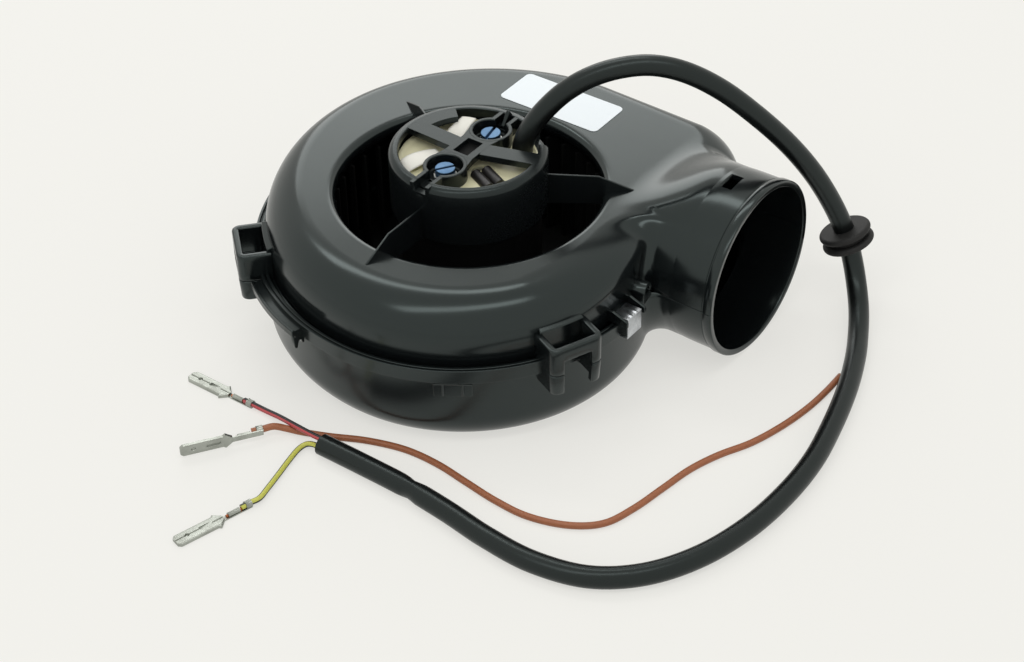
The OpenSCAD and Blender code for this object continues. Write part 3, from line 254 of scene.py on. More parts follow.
# points in millimetres and lists of faces become a smooth piece; edges sharper than `sharp` degrees stay edges
def putMesh(name, points, faces, finish, slot, stands=(), sharp=38, chart=None, bevel=None):
    points = np.asarray(points, float).reshape(-1, 3) * mm
    faces = [np.atleast_2d(f) for f in faces]
    loops = np.concatenate([f.reshape(-1) for f in faces]).astype(np.int32)
    sizes = np.concatenate([np.full(len(f), f.shape[1]) for f in faces]).astype(np.int32)
    mesh = bpy.data.meshes.new(name)
    mesh.vertices.add(len(points))
    mesh.vertices.foreach_set("co", points.astype(np.float32).ravel())
    mesh.loops.add(len(loops))
    mesh.loops.foreach_set("vertex_index", loops)
    mesh.polygons.add(len(sizes))
    mesh.polygons.foreach_set("loop_start", np.concatenate([[0], np.cumsum(sizes)[:-1]]).astype(np.int32))
    mesh.polygons.foreach_set("loop_total", sizes)
    mesh.polygons.foreach_set("use_smooth", np.ones(len(sizes), bool))
    if chart is not None:
        uv = mesh.uv_layers.new(name="map")
        uv.data.foreach_set("uv", np.asarray(chart, np.float32).reshape(-1, 2)[loops].ravel())
    mesh.update(calc_edges=True)
    mesh.validate()
    mesh.set_sharp_from_angle(angle=np.radians(sharp))
    piece = bpy.data.objects.new(name, mesh)
    scene.collection.objects.link(piece)
    mesh.materials.append(finish)
    if bevel:
        addBevel(piece, *bevel)
    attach(piece, "housing")
    if stands:
        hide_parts(*stands)
    return piece


# an open sheet of points gets its wall from Solidify, inwards, and then its softened edge
def putSheet(name, points, faces, finish, thick, bevel=None, **more):
    piece = putMesh(name, points, faces, finish, **more)
    wall = piece.modifiers.new("wall", "SOLIDIFY")
    wall.thickness = thick * mm
    wall.offset = -1
    if bevel:
        addBevel(piece, *bevel)


# corners of a rectangle
def oblong(left, right, low, high):
    return [(left, low), (right, low), (right, high), (left, high)]


# matrix of a place and three axes
def placed(at, *axes):
    return Matrix.Translation(Vector(at)) @ Matrix(axes).transposed().to_4x4()


cameraSet = {"eye": (0.4705, -0.6066, 0.6039), "ahead": (-0.4640, 0.6262, -0.6266), "roll": -0.0199, "lens": 77.35,
             "sensor": 36, "far": 20}


# the camera's axes: right and top square to the view, turned about it by the roll
def setCamera(s):
    ahead = Vector(s["ahead"]).normalized()
    right = ahead.cross(Vector(up)).normalized()
    turn = Matrix.Rotation(s["roll"], 3, -ahead)
    data = bpy.data.cameras.new("photoCamera")
    data.lens = s["lens"]
    data.sensor_width = s["sensor"]
    data.sensor_fit = "HORIZONTAL"
    data.clip_end = s["far"]
    camera = bpy.data.objects.new("photoCamera", data)
    camera.matrix_world = placed(s["eye"], turn @ right, turn @ right.cross(ahead), -ahead)
    scene.collection.objects.link(camera)
    scene.camera = camera


# 1 for rays from the camera, and for those seen in a mirror or through glass
def raySeen(tree):
    path = tree.nodes.new("ShaderNodeLightPath")
    kinds = ("Camera", "Glossy", "Transmission")
    camera, glossy, glass = (Wire(tree, path.outputs["Is %s Ray" % kind]) for kind in kinds)
    return camera + glossy + glass


# an emptied node tree that ends in a mix of two shaders, each a kind of node and its sockets: the second is for
# the rays that see it, in its share
def mixShaders(owner, outputKind, first, second, share=1.0):
    owner.use_nodes = True
    tree = owner.node_tree
    tree.nodes.clear()
    output = tree.nodes.new(outputKind)
    seen = raySeen(tree)
    mixed = seen.node("ShaderNodeMixShader", {0: seen * share, 1: seen.node(*first), 2: seen.node(*second)})
    tree.links.new(mixed.socket, output.inputs[0])


paperSet = {"shade": linear(246, 245, 240), "shadow": 0.36, "size": 8.0}


# floor: diffuse paper that keeps a share of the shadow, and shows as the pale paper to camera and mirrors
def makeFloor(s):
    material = bpy.data.materials.new("palePaper")
    lit = "ShaderNodeBsdfDiffuse", {"Color": s["shade"], "Roughness": 0.5}
    plain = "ShaderNodeEmission", {"Color": s["shade"], "Strength": 1.0}
    mixShaders(material, "ShaderNodeOutputMaterial", lit, plain, 1 - s["shadow"])
    half = s["size"] / 2
    mesh = bpy.data.meshes.new("floor")
    mesh.from_pydata([(*corner, 0) for corner in oblong(-half, half, -half, half)], [], [(0, 1, 2, 3)])
    mesh.materials.append(material)
    floor = bpy.data.objects.new("floor", mesh)
    scene.collection.objects.link(floor)


lightSet = {
    "sky": white, "skyStrength": 0.66, "paper": paperSet["shade"], "aim": (0, 0, 0.05),
    "lamps": {
        "backPanel": {"at": (-0.81, 0.95, 0.6), "long": (0.76, 0.65, 0), "size": (0.8, 0.6), "power": 3.0},
        "leftStrip": {"at": (-0.5, 0.33, 1.07), "long": (0.93, 0.37, 0), "size": (0.85, 0.22), "power": 2.1},
        "rightStrip": {"at": (0.2, -0.4, 1.07), "long": (0.57, 0.82, 0), "size": (1.2, 0.2), "power": 2.2},
    },
}


# lamp: its long side turned along the given direction, square to its aim
def putLamp(name, s, aim):
    away = (Vector(s["at"]) - Vector(aim)).normalized()
    side = Vector(s["long"])
    side = (side - away * side.dot(away)).normalized()
    data = bpy.data.lights.new(name, "AREA")
    data.shape = "RECTANGLE"
    data.size, data.size_y = s["size"]
    data.energy = s["power"]
    light = bpy.data.objects.new(name, data)
    light.matrix_world = placed(s["at"], side, away.cross(side), away)
    scene.collection.objects.link(light)


# light: an even sky that shows as the pale paper to camera and mirrors, and the lamps
def makeLights(s):
    world = bpy.data.worlds.new("studio")
    scene.world = world
    soft = "ShaderNodeBackground", {"Color": s["sky"], "Strength": s["skyStrength"]}
    plain = "ShaderNodeBackground", {"Color": s["paper"], "Strength": 1.0}
    mixShaders(world, "ShaderNodeOutputWorld", soft, plain)
    for name, lamp in s["lamps"].items():
        putLamp(name, lamp, s["aim"])


setCamera(cameraSet)
makeFloor(paperSet)
makeLights(lightSet)
print("camera, floor and light set")


# smooth line through the route's points: between two points a cubic whose slopes come from their neighbours
def smoothLine(route, steps=8):
    p = np.asarray(route, float)
    ends = np.concatenate([[2 * p[0] - p[1]], p, [2 * p[-1] - p[-2]]])
    a, b, c, d = ends[:-3, None], ends[1:-2, None], ends[2:-1, None], ends[3:, None]
    t = (np.arange(steps) / steps)[None, :, None]
    line = 0.5 * (2 * b + (c - a) * t + (2 * a - 5 * b + 4 * c - d) * t ** 2 + (3 * b - a - 3 * c + d) * t ** 3)
    return np.concatenate([line.reshape(-1, 3), p[-1:]])


# sideways and upward vectors along a line: a first pair from a fixed vector, then the twist that has
# gathered between neighbours is summed and taken out
def carriedAxes(line):
    t = np.gradient(line, axis=0)
    t /= np.linalg.norm(t, axis=1, keepdims=True)
    s = np.cross((0.31, 0.17, 0.93), t)
    s /= np.linalg.norm(s, axis=1, keepdims=True)
    u = np.cross(t, s)
    both = t[:-1] + t[1:]
    carried = s[:-1] - both * ((s[:-1] * t[1:]).sum(1) / (1 + (t[:-1] * t[1:]).sum(1)))[:, None]
    turn = np.arctan2((carried * u[1:]).sum(1), (carried * s[1:]).sum(1))
    total = np.concatenate([[0], np.cumsum(turn)])[:, None]
    return s * np.cos(total) + u * np.sin(total), u * np.cos(total) - s * np.sin(total)


# distance run along a line
def runAlong(line):
    return np.concatenate([[0], np.cumsum(np.linalg.norm(np.diff(line, axis=0), axis=1))])


# tube: circles of one radius carried along a line; wide and tall (a number, or one for each station) stretch
# each circle sideways and upwards; both ends closed by a point
def tube(name, line, radius, sides, finish, wide=1.0, tall=1.0, **more):
    s, u = carriedAxes(line)
    count = len(line)
    angle = (np.arange(sides) * 2 * np.pi / sides)[None, :, None]
    wide, tall = np.reshape(wide, (-1, 1, 1)), np.reshape(tall, (-1, 1, 1))
    rings = line[:, None] + radius * (wide * np.cos(angle) * s[:, None] + tall * np.sin(angle) * u[:, None])
    points = np.concatenate([rings.reshape(-1, 3), line[:1], line[-1:]])
    along = np.repeat(runAlong(line) * mm, sides)
    around = np.tile(np.arange(sides) / sides, count)
    chart = np.concatenate([np.stack([along, around], 1), [[0, 0], [along[-1], 0]]])
    k = np.arange(sides)
    l = (k + 1) % sides
    base = count * sides
    first = np.stack([l, k, np.full(sides, base)], 1)
    last = np.stack([base - sides + k, base - sides + l, np.full(sides, base + 1)], 1)
    return putMesh(name, points, [gridFaces(count, sides)[:, ::-1], first, last], finish, chart=chart, **more)


# several shapes (points, lists of faces) as one: the later ones' numbers are shifted
def joined(*shapes):
    starts = np.cumsum([0] + [len(points) for points, faces in shapes])
    return (np.concatenate([points for points, faces in shapes]),
            [f + start for (points, faces), start in zip(shapes, starts) for f in faces])


# faces turned outwards: the volume summed over fans of triangles has to come out above zero
def outward(points, faces):
    points = np.asarray(points, float).reshape(-1, 3)
    volume = 0.0
    for f in faces:
        q = points[f] - points.mean(0)
        volume += (np.cross(q[:, 1:-1], q[:, 2:]) * q[:, :1]).sum()
    return points, [f[:, ::-1] if volume < 0 else f for f in faces]


# coordinates of any fitting shapes as one array of points
def stacked(x, y, z):
    return np.stack(np.broadcast_arrays(x, y, z), -1)


# rows of a grid joined round, the first and the last row closed by a flat face
def closedGrid(grid):
    n, m = grid.shape[:2]
    ends = np.stack([np.arange(m), np.arange(m)[::-1] + (n - 1) * m])
    return outward(grid, [gridFaces(n, m), ends])


# closed section (two columns) carried along stations: place + first * side + second * top; the ends are flat
# faces, or the last station joins the first
def carried(section, place, side, top, ring=False):
    section = np.asarray(section, float)
    grid = place[:, None] + section[None, :, :1] * side[:, None] + section[None, :, 1:] * top[:, None]
    return outward(grid, [gridFaces(*grid.shape[:2], True)]) if ring else closedGrid(grid)


# section (radius, height) turned about an upright axis, all round or from one angle to another
def turned(section, steps, axis=(0, 0), start=0.0, end=360.0):
    ring = end - start >= 360
    a = np.radians(np.linspace(start, end, steps + 1))[:steps if ring else None]
    place, side = stacked(axis[0], axis[1], 0 * a), stacked(np.cos(a), np.sin(a), 0)
    return carried(section, place, side, np.tile(up, (len(a), 1)), ring)


# outline in the plane of x and y carried from low to high along n
def prism(outline, low, high, x=(1, 0, 0), y=(0, 1, 0), n=(0, 0, 1)):
    place = np.array([[low], [high]]) * np.asarray(n, float)
    return carried(outline, place, np.tile(np.asarray(x, float), (2, 1)), np.tile(np.asarray(y, float), (2, 1)))


# the planes of upright outlines: (reach, height) carried along the wall, and (along, height) carried outwards
acrossWall = ((1, 0, 0), up, (0, 1, 0))
alongWall = ((0, 1, 0), up, (1, 0, 0))


# outline with each corner replaced by a curve of about radius r: a parabola between two points on its sides,
# neither of them past the side's middle
def softened(corners, r, steps=5):
    p = np.asarray(corners, float)
    r = np.broadcast_to(np.asarray(r, float), (len(p),))
    a, b = np.roll(p, 1, 0) - p, np.roll(p, -1, 0) - p
    la, lb = np.linalg.norm(a, axis=1), np.linalg.norm(b, axis=1)
    half = 0.5 * np.arccos(np.clip((a * b).sum(1) / (la * lb), -1, 1))
    cut = np.minimum(r / np.tan(half), 0.48 * np.minimum(la, lb))
    t = np.linspace(0, 1, steps)[None, :, None]
    first = p + a / la[:, None] * cut[:, None]
    last = p + b / lb[:, None] * cut[:, None]
    line = (1 - t) ** 2 * first[:, None] + 2 * t * (1 - t) * p[:, None] + t ** 2 * last[:, None]
    return line.reshape(-1, 2)


# points of an arc in plan
def arcLine(x, y, r, start, end, count):
    a = np.radians(np.linspace(start, end, count))
    return np.stack([x + r * np.cos(a), y + r * np.sin(a)], 1)


# 0 below 0, 1 above 1, between them 3 x x - 2 x x x
def smoothStep(x):
    x = np.clip(x, 0, 1)
    return x * x * (3 - 2 * x)


sleeveSet = {
    "route": [(15, 18, 79), (15.4, 18.4, 84), (17.6, 20.2, 91), (22.4, 24, 100), (29.4, 29.5, 109),
              (38, 36, 115.8), (48, 43, 120), (58.5, 51, 120.7), (70, 59, 117), (82, 68, 108), (94, 77, 95),
              (105, 86, 80), (114.5, 93, 64.5), (122.3, 98.4, 48), (128.6, 101.4, 32.4), (133, 100.4, 22),
              (138.4, 95.6, 13.8), (144.8, 87, 8.2), (151.4, 75, 5.2), (158, 60.6, 4.6), (165, 41, 4.6),
              (171, 18, 4.6), (175.5, -6, 4.6), (176.5, -30, 4.6), (174, -55, 4.6), (167, -79, 4.6),
              (155, -99, 4.6), (138, -112.5, 4.6), (116, -118, 4.6), (94, -117.4, 4.6), (72, -114.4, 4.6),
              (50, -112.4, 4.6), (28, -112, 4.6), (6, -112, 4.6)],
    "diameter": 9.0, "sides": 28, "pinchAt": 53.0, "pinchRun": 3.0, "pinchFront": -100, "pinch": (0.02, 0.22),
}
brownSet = {
    "route": [(157, 50, 1.6), (157, 38, 1.6), (156, 24, 1.6), (153, 8, 1.6), (148, -8, 1.6), (141, -22, 1.6),
              (136, -36, 1.6), (133, -52, 1.6), (130, -68, 1.6), (125, -82, 1.6), (114, -91, 1.6),
              (98, -96, 1.6), (82, -96, 1.6), (66, -94, 1.6), (50, -92, 1.6), (34, -92.5, 1.6), (18, -97, 1.6),
              (3, -104, 1.6), (-8, -108.6, 1.8), (-13.5, -111.5, 3), (-17.4, -114.8, 4.6), (-20.2, -118.8, 4.6)],
    "diameter": 2.9, "sides": 18, "slot": "wire_brown", "roll": 80.0,
}
redSet = {
    "route": [(6, -111, 6.2), (0, -111, 6.2), (-10, -110, 5.4), (-20, -108, 3.4), (-29, -107, 2), (-36, -107, 2)],
    "diameter": 2.4, "sides": 18, "slot": "wire_red", "roll": 0.0,
}
yellowSet = {
    "route": [(6, -112.6, 2.8), (2, -112.6, 2.8), (-1, -114, 2.4), (-2, -118, 1.9), (-1, -125, 1.6),
              (1, -134, 1.6), (3, -143, 1.8), (4.2, -149, 2), (3, -153, 2)],
    "diameter": 2.4, "sides": 18, "slot": "wire_yellow", "roll": 0.0,
}


terminalSet = {
    "grip": 11.0, "neck": 2.0, "sheet": 0.5, "width": 6.3, "length": 22.0, "fold": 1.6, "crown": (0.3, 8),
    "count": (133, 61), "dimpleEdge": (0.2, 0.25), "lanceEdge": (0.1, 0.15), "overlap": 0.1,
    "barb": (3.0, 0.9), "point": 1.2, "seam": (0.22, 0.5), "dimple": (5.5, 0.9), "lance": (5.0, 11.0, 0.8),
    "sunk": 0.9, "sunkBelow": (0.6, 0.5), "barrel": (5.4, 10.8, 1.05), "ring": (0.0, 2.7), "crease": (0.3, 0.22),
    "flare": (0.3, 0.93), "copper": (4.5, 8.0, 11.7), "strands": 0.62, "strandsUp": 0.3, "strandSides": 14,
    "stub": (2.6, 3.6, 4.6),
}


# crimped barrel: a circle with a crease along its top, carried along with slightly flared ends
def crimp(s, start, end, r, middle):
    a = np.radians(np.arange(0, 360, 10.0))
    deep, wide = s["crease"]
    edge, waist = s["flare"]
    x = np.array([start, start + edge, end - edge, end])[:, None]
    r = np.array([1.0, waist, waist, 1.0])[:, None] * r * (1 - deep * np.exp(-((a - np.pi / 2) / wide) ** 2))
    return closedGrid(stacked(x, r * np.cos(a), middle + r * np.sin(a)))


# folded blade: half its width drawn along it with barbs and a pointed end; its upper face is crowned, with a seam
# along the middle, a round dimple and a sloping tongue sunk into it; below, the same two are sunk into a flat face
def foldedBlade(s, wire, start):
    half, end, point = s["width"] / 2, s["length"], s["point"]
    x, t = np.linspace(0, end, s["count"][0])[:, None], np.linspace(-1, 1, s["count"][1])
    barb, out = s["barb"]
    y = t * np.interp(x, [0, barb, barb + 1, end - point, end], [wire / 2, half + out, half, half, half - point])
    (wideSeam, deepSeam), (crown, power), (deepDimple, deepTongue) = s["seam"], s["crown"], s["sunkBelow"]
    (back, r), (low, high, side) = s["dimple"], s["lance"]
    inside = lambda away, before, run: 1 - smoothStep((away + before) / run)
    dimple = inside(np.hypot(x - end + back, y) - r, *s["dimpleEdge"])
    band = inside(np.abs(y) - side, *s["lanceEdge"])
    tongue = band * np.clip((x - low) / (high - low), 0, 1) * (x < high)
    seam = deepSeam * np.exp(-(y / wideSeam) ** 2) * (1 - np.sign(tongue))
    upper = stacked(start + x, y, s["fold"] * (1 - crown * t ** power) - seam - s["sunk"] * (dimple + tongue))
    lower = stacked(start + x, y, deepDimple * dimple + deepTongue * band * ((x > low) & (x < high)))
    return closedGrid(np.concatenate([upper, lower[:, ::-1]], 1))


# terminal: blade, neck, wire barrel and insulation ring, put at the wire's end along its last stretch and
# rolled about it, with the bare strands and the stub of insulation that it holds
def makeTerminal(name, s, wire, skin):
    before, at = np.array(wire["route"][-2:], float)
    x = (at - before) / np.linalg.norm(at - before)
    y = np.cross(up, x) / np.linalg.norm(np.cross(up, x))
    z, a = np.cross(x, y), np.radians(wire["roll"])
    y, z = y * np.cos(a) + z * np.sin(a), z * np.cos(a) - y * np.sin(a)
    r = wire["diameter"] / 2
    reach = r + s["sheet"]
    place = lambda points: at + points[:, :1] * x + points[:, 1:2] * y + (points[:, 2:] - reach) * z
    end = s["grip"] + s["neck"]
    (low, high, barrel), over = s["barrel"], s["overlap"]
    points, faces = joined(foldedBlade(s, 2 * r, end), prism(oblong(0, end + over, -r, r), 0, s["sheet"]),
                           crimp(s, low, high, barrel, barrel + over), crimp(s, *s["ring"], reach, reach))
    blade = putMesh(name + "Terminal", place(points), faces, tinned, "tin", [name + "_terminal"])
    line = place(stacked(np.array(s["copper"]), 0, s["strands"] + s["strandsUp"]))
    bare = tube(name + "Strands", line, s["strands"], s["strandSides"], copper, slot="copper")
    line = place(stacked(np.array(s["stub"]), 0, reach))
    return [blade, bare, tube(name + "Stub", line, r, wire["sides"], skin, slot=wire["slot"])]


# sleeve: a tube along its route with a dent near the cut end
def makeSleeve(s):
    line = smoothLine(s["route"])
    near = np.exp(-((line[:, 0] - s["pinchAt"]) / s["pinchRun"]) ** 2) * (line[:, 1] < s["pinchFront"])
    wide, tall = s["pinch"]
    piece = tube("sleeve", line, s["diameter"] / 2, s["sides"], sleeveVinyl, 1 - wide * near, 1 - tall * near,
                 slot="sleeve_black", stands=["cable_sleeve"])


# wire: a tube of one width along its route, with its terminal
def makeWire(name, s, finish):
    line = smoothLine(s["route"])
    piece = tube(name + "Wire", line, s["diameter"] / 2, s["sides"], finish, slot=s["slot"], stands=[name + "_wire"])
    makeTerminal(name, terminalSet, s, finish)


makeSleeve(sleeveSet)
makeWire("brown", brownSet, brownSkin)
makeWire("red", redSet, redSkin)
makeWire("yellow", yellowSet, yellowSkin)
print("loom made")


# what the pieces of the two shells say of themselves
ofUpper = {"slot": "housing_black", "stands": ["upper_housing"]}
ofLower = {"slot": "housing_black", "stands": ["lower_housing"]}
shellSet = {
    "scroll": (4.5, 6.0, 95.0), "tongue": (4.5, -10.0, 79.0), "corner": (56.0, 69.0, 32.0), "cornerShare": 0.7,
    "outletY": 50.5, "parting": 40.0, "ductRadius": 38.6, "ductFloor": 9.0, "ductEnd": 96.0, "toDuct": 0.55,
    "inlet": 60.5, "blend": (150.0, 85.0), "wall": 2.0, "parts": (132, 72, 40, 26, 60, 8, 22, 38, 20), "outlet": 4,
    "upper": {"flat": 68.0, "near": 18.0, "far": 9.0, "duct": 9.0, "out": 0.0, "valley": 4.0, "spread": 0.9,
              "rows": (8, 18)},
    "lower": {"flat": 0.0, "near": 14.0, "far": 14.0, "duct": 14.0, "out": 1.5, "valley": 7.0, "spread": 0.33,
              "rows": (10, 14)},
    "rampStart": 58.0, "rampRun": 34.0, "soft": (6.0, 0.2), "rampPower": 6, "fan": (17.5, 25.0, 34.0, 38.8),
    "fanStep": 0.3, "topRows": 26, "lipRows": 8, "smoothing": 70, "pull": 0.8, "wornRows": 14, "wornStart": (30, 20),
    "wornEnd": (4, 12), "lip": (3.4, 61.8), "middle": (40.0, 46.0), "floorRows": 12, "floorShare": 0.96,
}


# shell surface: rows climb the wall from the parting line and turn over a rounded edge, drawn in by
# r (1 - cos a) and raised by r sin a; columns go round the plan: scroll arc, tongue arc, valley, duct side,
# outlet, duct side, valley, corner arc, straight wall; towards the near duct side the edge's radius falls to the duct's
def shellGrid(s, flat, near, far, duct, out, valley, spread, rows):
    parting, outlet, end = s["parting"], s["outletY"], s["ductEnd"]
    side, quarter = np.sign(flat - parting), np.pi / 2
    climb = np.concatenate([np.linspace(0, 1, rows[0] + 1)[:-1], np.ones(rows[1] + 1)])[:, None]
    lean = np.concatenate([np.zeros(rows[0]), np.linspace(0, quarter, rows[1] + 1)])[:, None]
    inset = lambda r: r * (1 - np.cos(lean))
    height = lambda r: parting + climb * (flat - side * r - parting) + side * r * np.sin(lean)
    width = lambda h: np.sqrt(np.maximum(s["ductRadius"] ** 2 - (h - parting) ** 2, s["ductFloor"] ** 2))
    arc = lambda x, y, r, turn: (x + r * np.cos(turn), y + r * np.sin(turn))
    (sx, sy, sr), (tx, ty, tr), (cx, cy, cr) = s["scroll"], s["tongue"], s["corner"]
    steps = [np.linspace(0, 1, n + 1)[None, :-1] for n in s["parts"]]
    z, zDuct = height(near), height(duct)
    nearW, farW = width(zDuct), width(z)
    v = valley + inset(near) * spread
    tongue, corner = tr + out - inset(near), cr + out - inset(near)
    nearY, farY = outlet - nearW - v, outlet + farW + v
    nearX = tx + np.sqrt((tongue + v) ** 2 - (nearY - ty) ** 2)
    farX = cx + np.sqrt((corner + v) ** 2 - (farY - cy) ** 2)
    nearA, farA = np.arctan2(nearY - ty, nearX - tx), np.arctan2(farY - cy, farX - cx)
    turn = quarter * (1 + 2 * steps[0])
    r = far + (near - far) * smoothStep((np.degrees(turn) - s["blend"][0]) / s["blend"][1])
    toDuct = smoothStep((steps[1] - s["toDuct"]) / (1 - s["toDuct"]))
    last = near + (far - near) * s["cornerShare"]
    rCorner, top = near + (last - near) * steps[7], cy + cr + out - inset(last)
    spans = [
        (*arc(sx, sy, sr + out - inset(r), turn), height(r)),
        (*arc(tx, ty, tongue, 3 * quarter + (quarter + nearA) * steps[1]), z + (zDuct - z) * toDuct),
        (*arc(nearX, nearY, v, 2 * quarter + nearA - (quarter + nearA) * steps[2]), zDuct),
        (nearX + (end - nearX) * steps[3], outlet - nearW, zDuct),
        (end, outlet - nearW + (nearW + farW) * steps[4], zDuct + (z - zDuct) * steps[4]),
        (end + (farX - end) * steps[5], outlet + farW, z),
        (*arc(farX, farY, v, 3 * quarter + (farA - quarter) * steps[6]), z),
        (*arc(cx, cy, cr + out - inset(rCorner), farA + (quarter - farA) * steps[7]), height(rCorner)),
        (cx + (sx - cx) * steps[8], top + (sy + sr + out - inset(far) - top) * steps[8],
         height(last) + (height(far) - height(last)) * steps[8]),
    ]
    return np.concatenate([stacked(*span) for span in spans], 1)


# first and last column of one part of the plan
def partOf(s, which):
    return sum(s["parts"][:which]), sum(s["parts"][:which + 1])


# faces of a shell's grid; those of the wall's rows in the outlet are left out
def shellFaces(s, grid, rows):
    faces = gridFaces(*grid.shape[:2])
    row, column = np.divmod(np.arange(len(faces)), grid.shape[1])
    first, last = partOf(s, s["outlet"])
    return faces[~((row < rows - 1) & (column >= first) & (column < last))]


# upper shell: its grid, then rows that run over the flat top to the inlet circle; towards the outlet the top
# is raised to the duct's circle by the soft maximum of the two heights; along the valley each point is drawn
# step by step towards the middle of its four neighbours; the last rows roll over the inlet's lip
def makeUpperShell(s):
    top, inlet, topRows, edgeRows = s["upper"]["flat"], s["inlet"], s["topRows"], s["upper"]["rows"][1] + 1
    grid = shellGrid(s, **s["upper"])
    rows, columns = grid.shape[:2]
    edge = grid[-1]
    turn = np.unwrap(np.arctan2(edge[:, 1], edge[:, 0]))
    (a, b), (d, f) = partOf(s, 2), partOf(s, s["outlet"])
    whole = 2 * np.pi * np.round(turn[a - 1] / (2 * np.pi))
    first = np.degrees(turn[a - 1] - whole) + s["fanStep"]
    turn[a:f] = whole + np.radians(np.interp(np.arange(a, f), [a, (a + b) / 2, b, d, f], [first, *s["fan"]]))
    ring = lambda r, z: stacked(r * np.cos(turn), r * np.sin(turn), z)
    share = np.linspace(0, 1, topRows + 1)[1:, None, None]
    grid = np.concatenate([grid, edge + (ring(inlet, top) - edge) * share])
    lean = np.concatenate([np.zeros(rows - edgeRows), np.linspace(0, 1, edgeRows), np.ones(topRows)]) * np.pi / 2
    across = np.minimum(np.abs(grid[..., 1] - s["outletY"]), s["ductRadius"])
    above = s["parting"] + np.sqrt(s["ductRadius"] ** 2 - across ** 2) - top
    rise = smoothStep((grid[..., 0] - s["rampStart"]) / s["rampRun"])
    soft = s["soft"][0] * (1 - rise) + s["soft"][1]
    grid[..., 2] += rise * 0.5 * (above + np.sqrt(above ** 2 + soft ** 2)) * np.sin(lean)[:, None] ** s["rampPower"]
    row, column = np.arange(len(grid))[:, None], np.arange(columns)[None]
    ramp = lambda x: np.clip(x, 0, 1)
    (before, grow), (after, fade) = s["wornStart"], s["wornEnd"]
    worn = ramp(1 - np.abs(row - rows + 1) / s["wornRows"])
    worn = (worn * ramp((column - a + before) / grow) * ramp((d - after - column) / fade))[..., None]
    for step in range(s["smoothing"]):
        around = (np.roll(grid, 1, 0) + np.roll(grid, -1, 0) + np.roll(grid, 1, 1) + np.roll(grid, -1, 1)) / 4
        grid += s["pull"] * worn * (around - grid)
    roll, foot = s["lip"]
    over = np.radians(np.linspace(0, 90, s["lipRows"] + 1)[1:])[:, None]
    lip = ring(inlet - roll * np.sin(over), top - roll * (1 - np.cos(over)))
    grid = np.concatenate([grid, lip, ring(inlet - roll, foot)[None]])
    putSheet("upperShell", grid, [shellFaces(s, grid, rows)[:, ::-1]], shellBlack, s["wall"], sharp=180, **ofUpper)


# lower shell: the same grid turned over, its floor drawn in to a small closing face
def makeLowerShell(s):
    grid = shellGrid(s, **s["lower"])
    rows, columns = grid.shape[:2]
    middle = np.array([*s["middle"], 0.0])
    share = np.linspace(0, s["floorShare"], s["floorRows"] + 1)[1:, None, None]
    grid = np.concatenate([grid, grid[-1] + (middle - grid[-1]) * share])
    floor = np.arange(columns)[None, ::-1] + (len(grid) - 1) * columns
    putSheet("lowerShell", grid, [shellFaces(s, grid, rows), floor], baseBlack, s["wall"], **ofLower)


pipeSet = {"axis": (50.5, 40.0), "window": (95.5, 101.5, 7.76), "steps": 8, "columns": 176, "seam": (0.3, 0.35),
           "between": 37.2,
           "outside": [(88, 37.9), (91, 38.3), (94, 38.62), (95.5, 38.72), (97.5, 38.8), (99.5, 38.86), (101.5, 38.9),
                       (105, 38.9), (109.6, 38.9), (109.8, 38.7), (110.3, 38.7), (110.5, 38.95), (110.6, 39.3),
                       (110.9, 39.5), (113.7, 39.5), (114.2, 39.38), (114.5, 39.0)],
           "inside": [(114.5, 37.1), (114.2, 36.65), (113.7, 36.5), (108, 36.5), (101.5, 36.5), (99.5, 36.5),
                      (97.5, 36.5), (95.5, 36.5), (90, 36.5), (88, 36.3)]}


# outlet pipe: a closed section (x, radius) carried round the outlet's axis; the window's faces are left out
# outside and inside, and the two edges are joined by walls; at the parting line a narrow groove is drawn in
def makePipe(s):
    section = np.array(s["outside"] + s["inside"], float)
    (low, high, half), steps = s["window"], s["steps"]
    wide, deep = s["seam"]
    seams = np.array([90 - wide, 90, 90 + wide, 270 - wide, 270, 270 + wide])
    rest = np.sort(np.concatenate([np.linspace(half, 360 - half, s["columns"])[1:-1], seams]))
    around = np.concatenate([np.linspace(-half, half, steps + 1), rest])
    a = np.radians(around)
    x, r = section[:, :1], section[:, 1:]
    r = r - deep * np.sign(r - s["between"]) * np.isin(around, (90, 270))
    grid = stacked(x, s["axis"][0] - r * np.sin(a), s["axis"][1] + r * np.cos(a))
    n, m = grid.shape[:2]
    faces = gridFaces(n, m, True)
    row, column = np.divmod(np.arange(len(faces)), m)
    x = section[:, 0]
    inWindow = (x > low - 0.01) & (x < high + 0.01)
    faces = faces[~((column < steps) & inWindow[row] & inWindow[(row + 1) % n])]
    outer = np.flatnonzero(inWindow & (section[:, 1] > s["between"])) * m
    inner = np.flatnonzero(inWindow & (section[:, 1] < s["between"]))[::-1] * m
    k = np.arange(steps)
    first = np.stack([outer[0] + k, outer[0] + k + 1, inner[0] + k + 1, inner[0] + k], 1)
    last = np.stack([outer[-1] + k, inner[-1] + k, inner[-1] + k + 1, outer[-1] + k + 1], 1)
    left = np.stack([outer[:-1], inner[:-1], inner[1:], outer[1:]], 1)
    right = np.stack([outer[:-1], outer[1:], inner[1:], inner[:-1]], 1) + steps
    walls = np.concatenate([first, last, left, right])[:, ::-1]
    putMesh("outletPipe", *outward(grid, [faces, walls]), shellBlack, **ofUpper)


rimSet = {"section": [(0.2, 36.5), (5.5, 36.5), (5.5, 43.0), (4.3, 43.0), (4.3, 42.0), (3.6, 42.0), (3.6, 42.7),
                      (2.2, 42.7), (2.2, 39.0), (0.2, 39.0)],
          "end": 4.0, "steps": (14, 150, 84)}


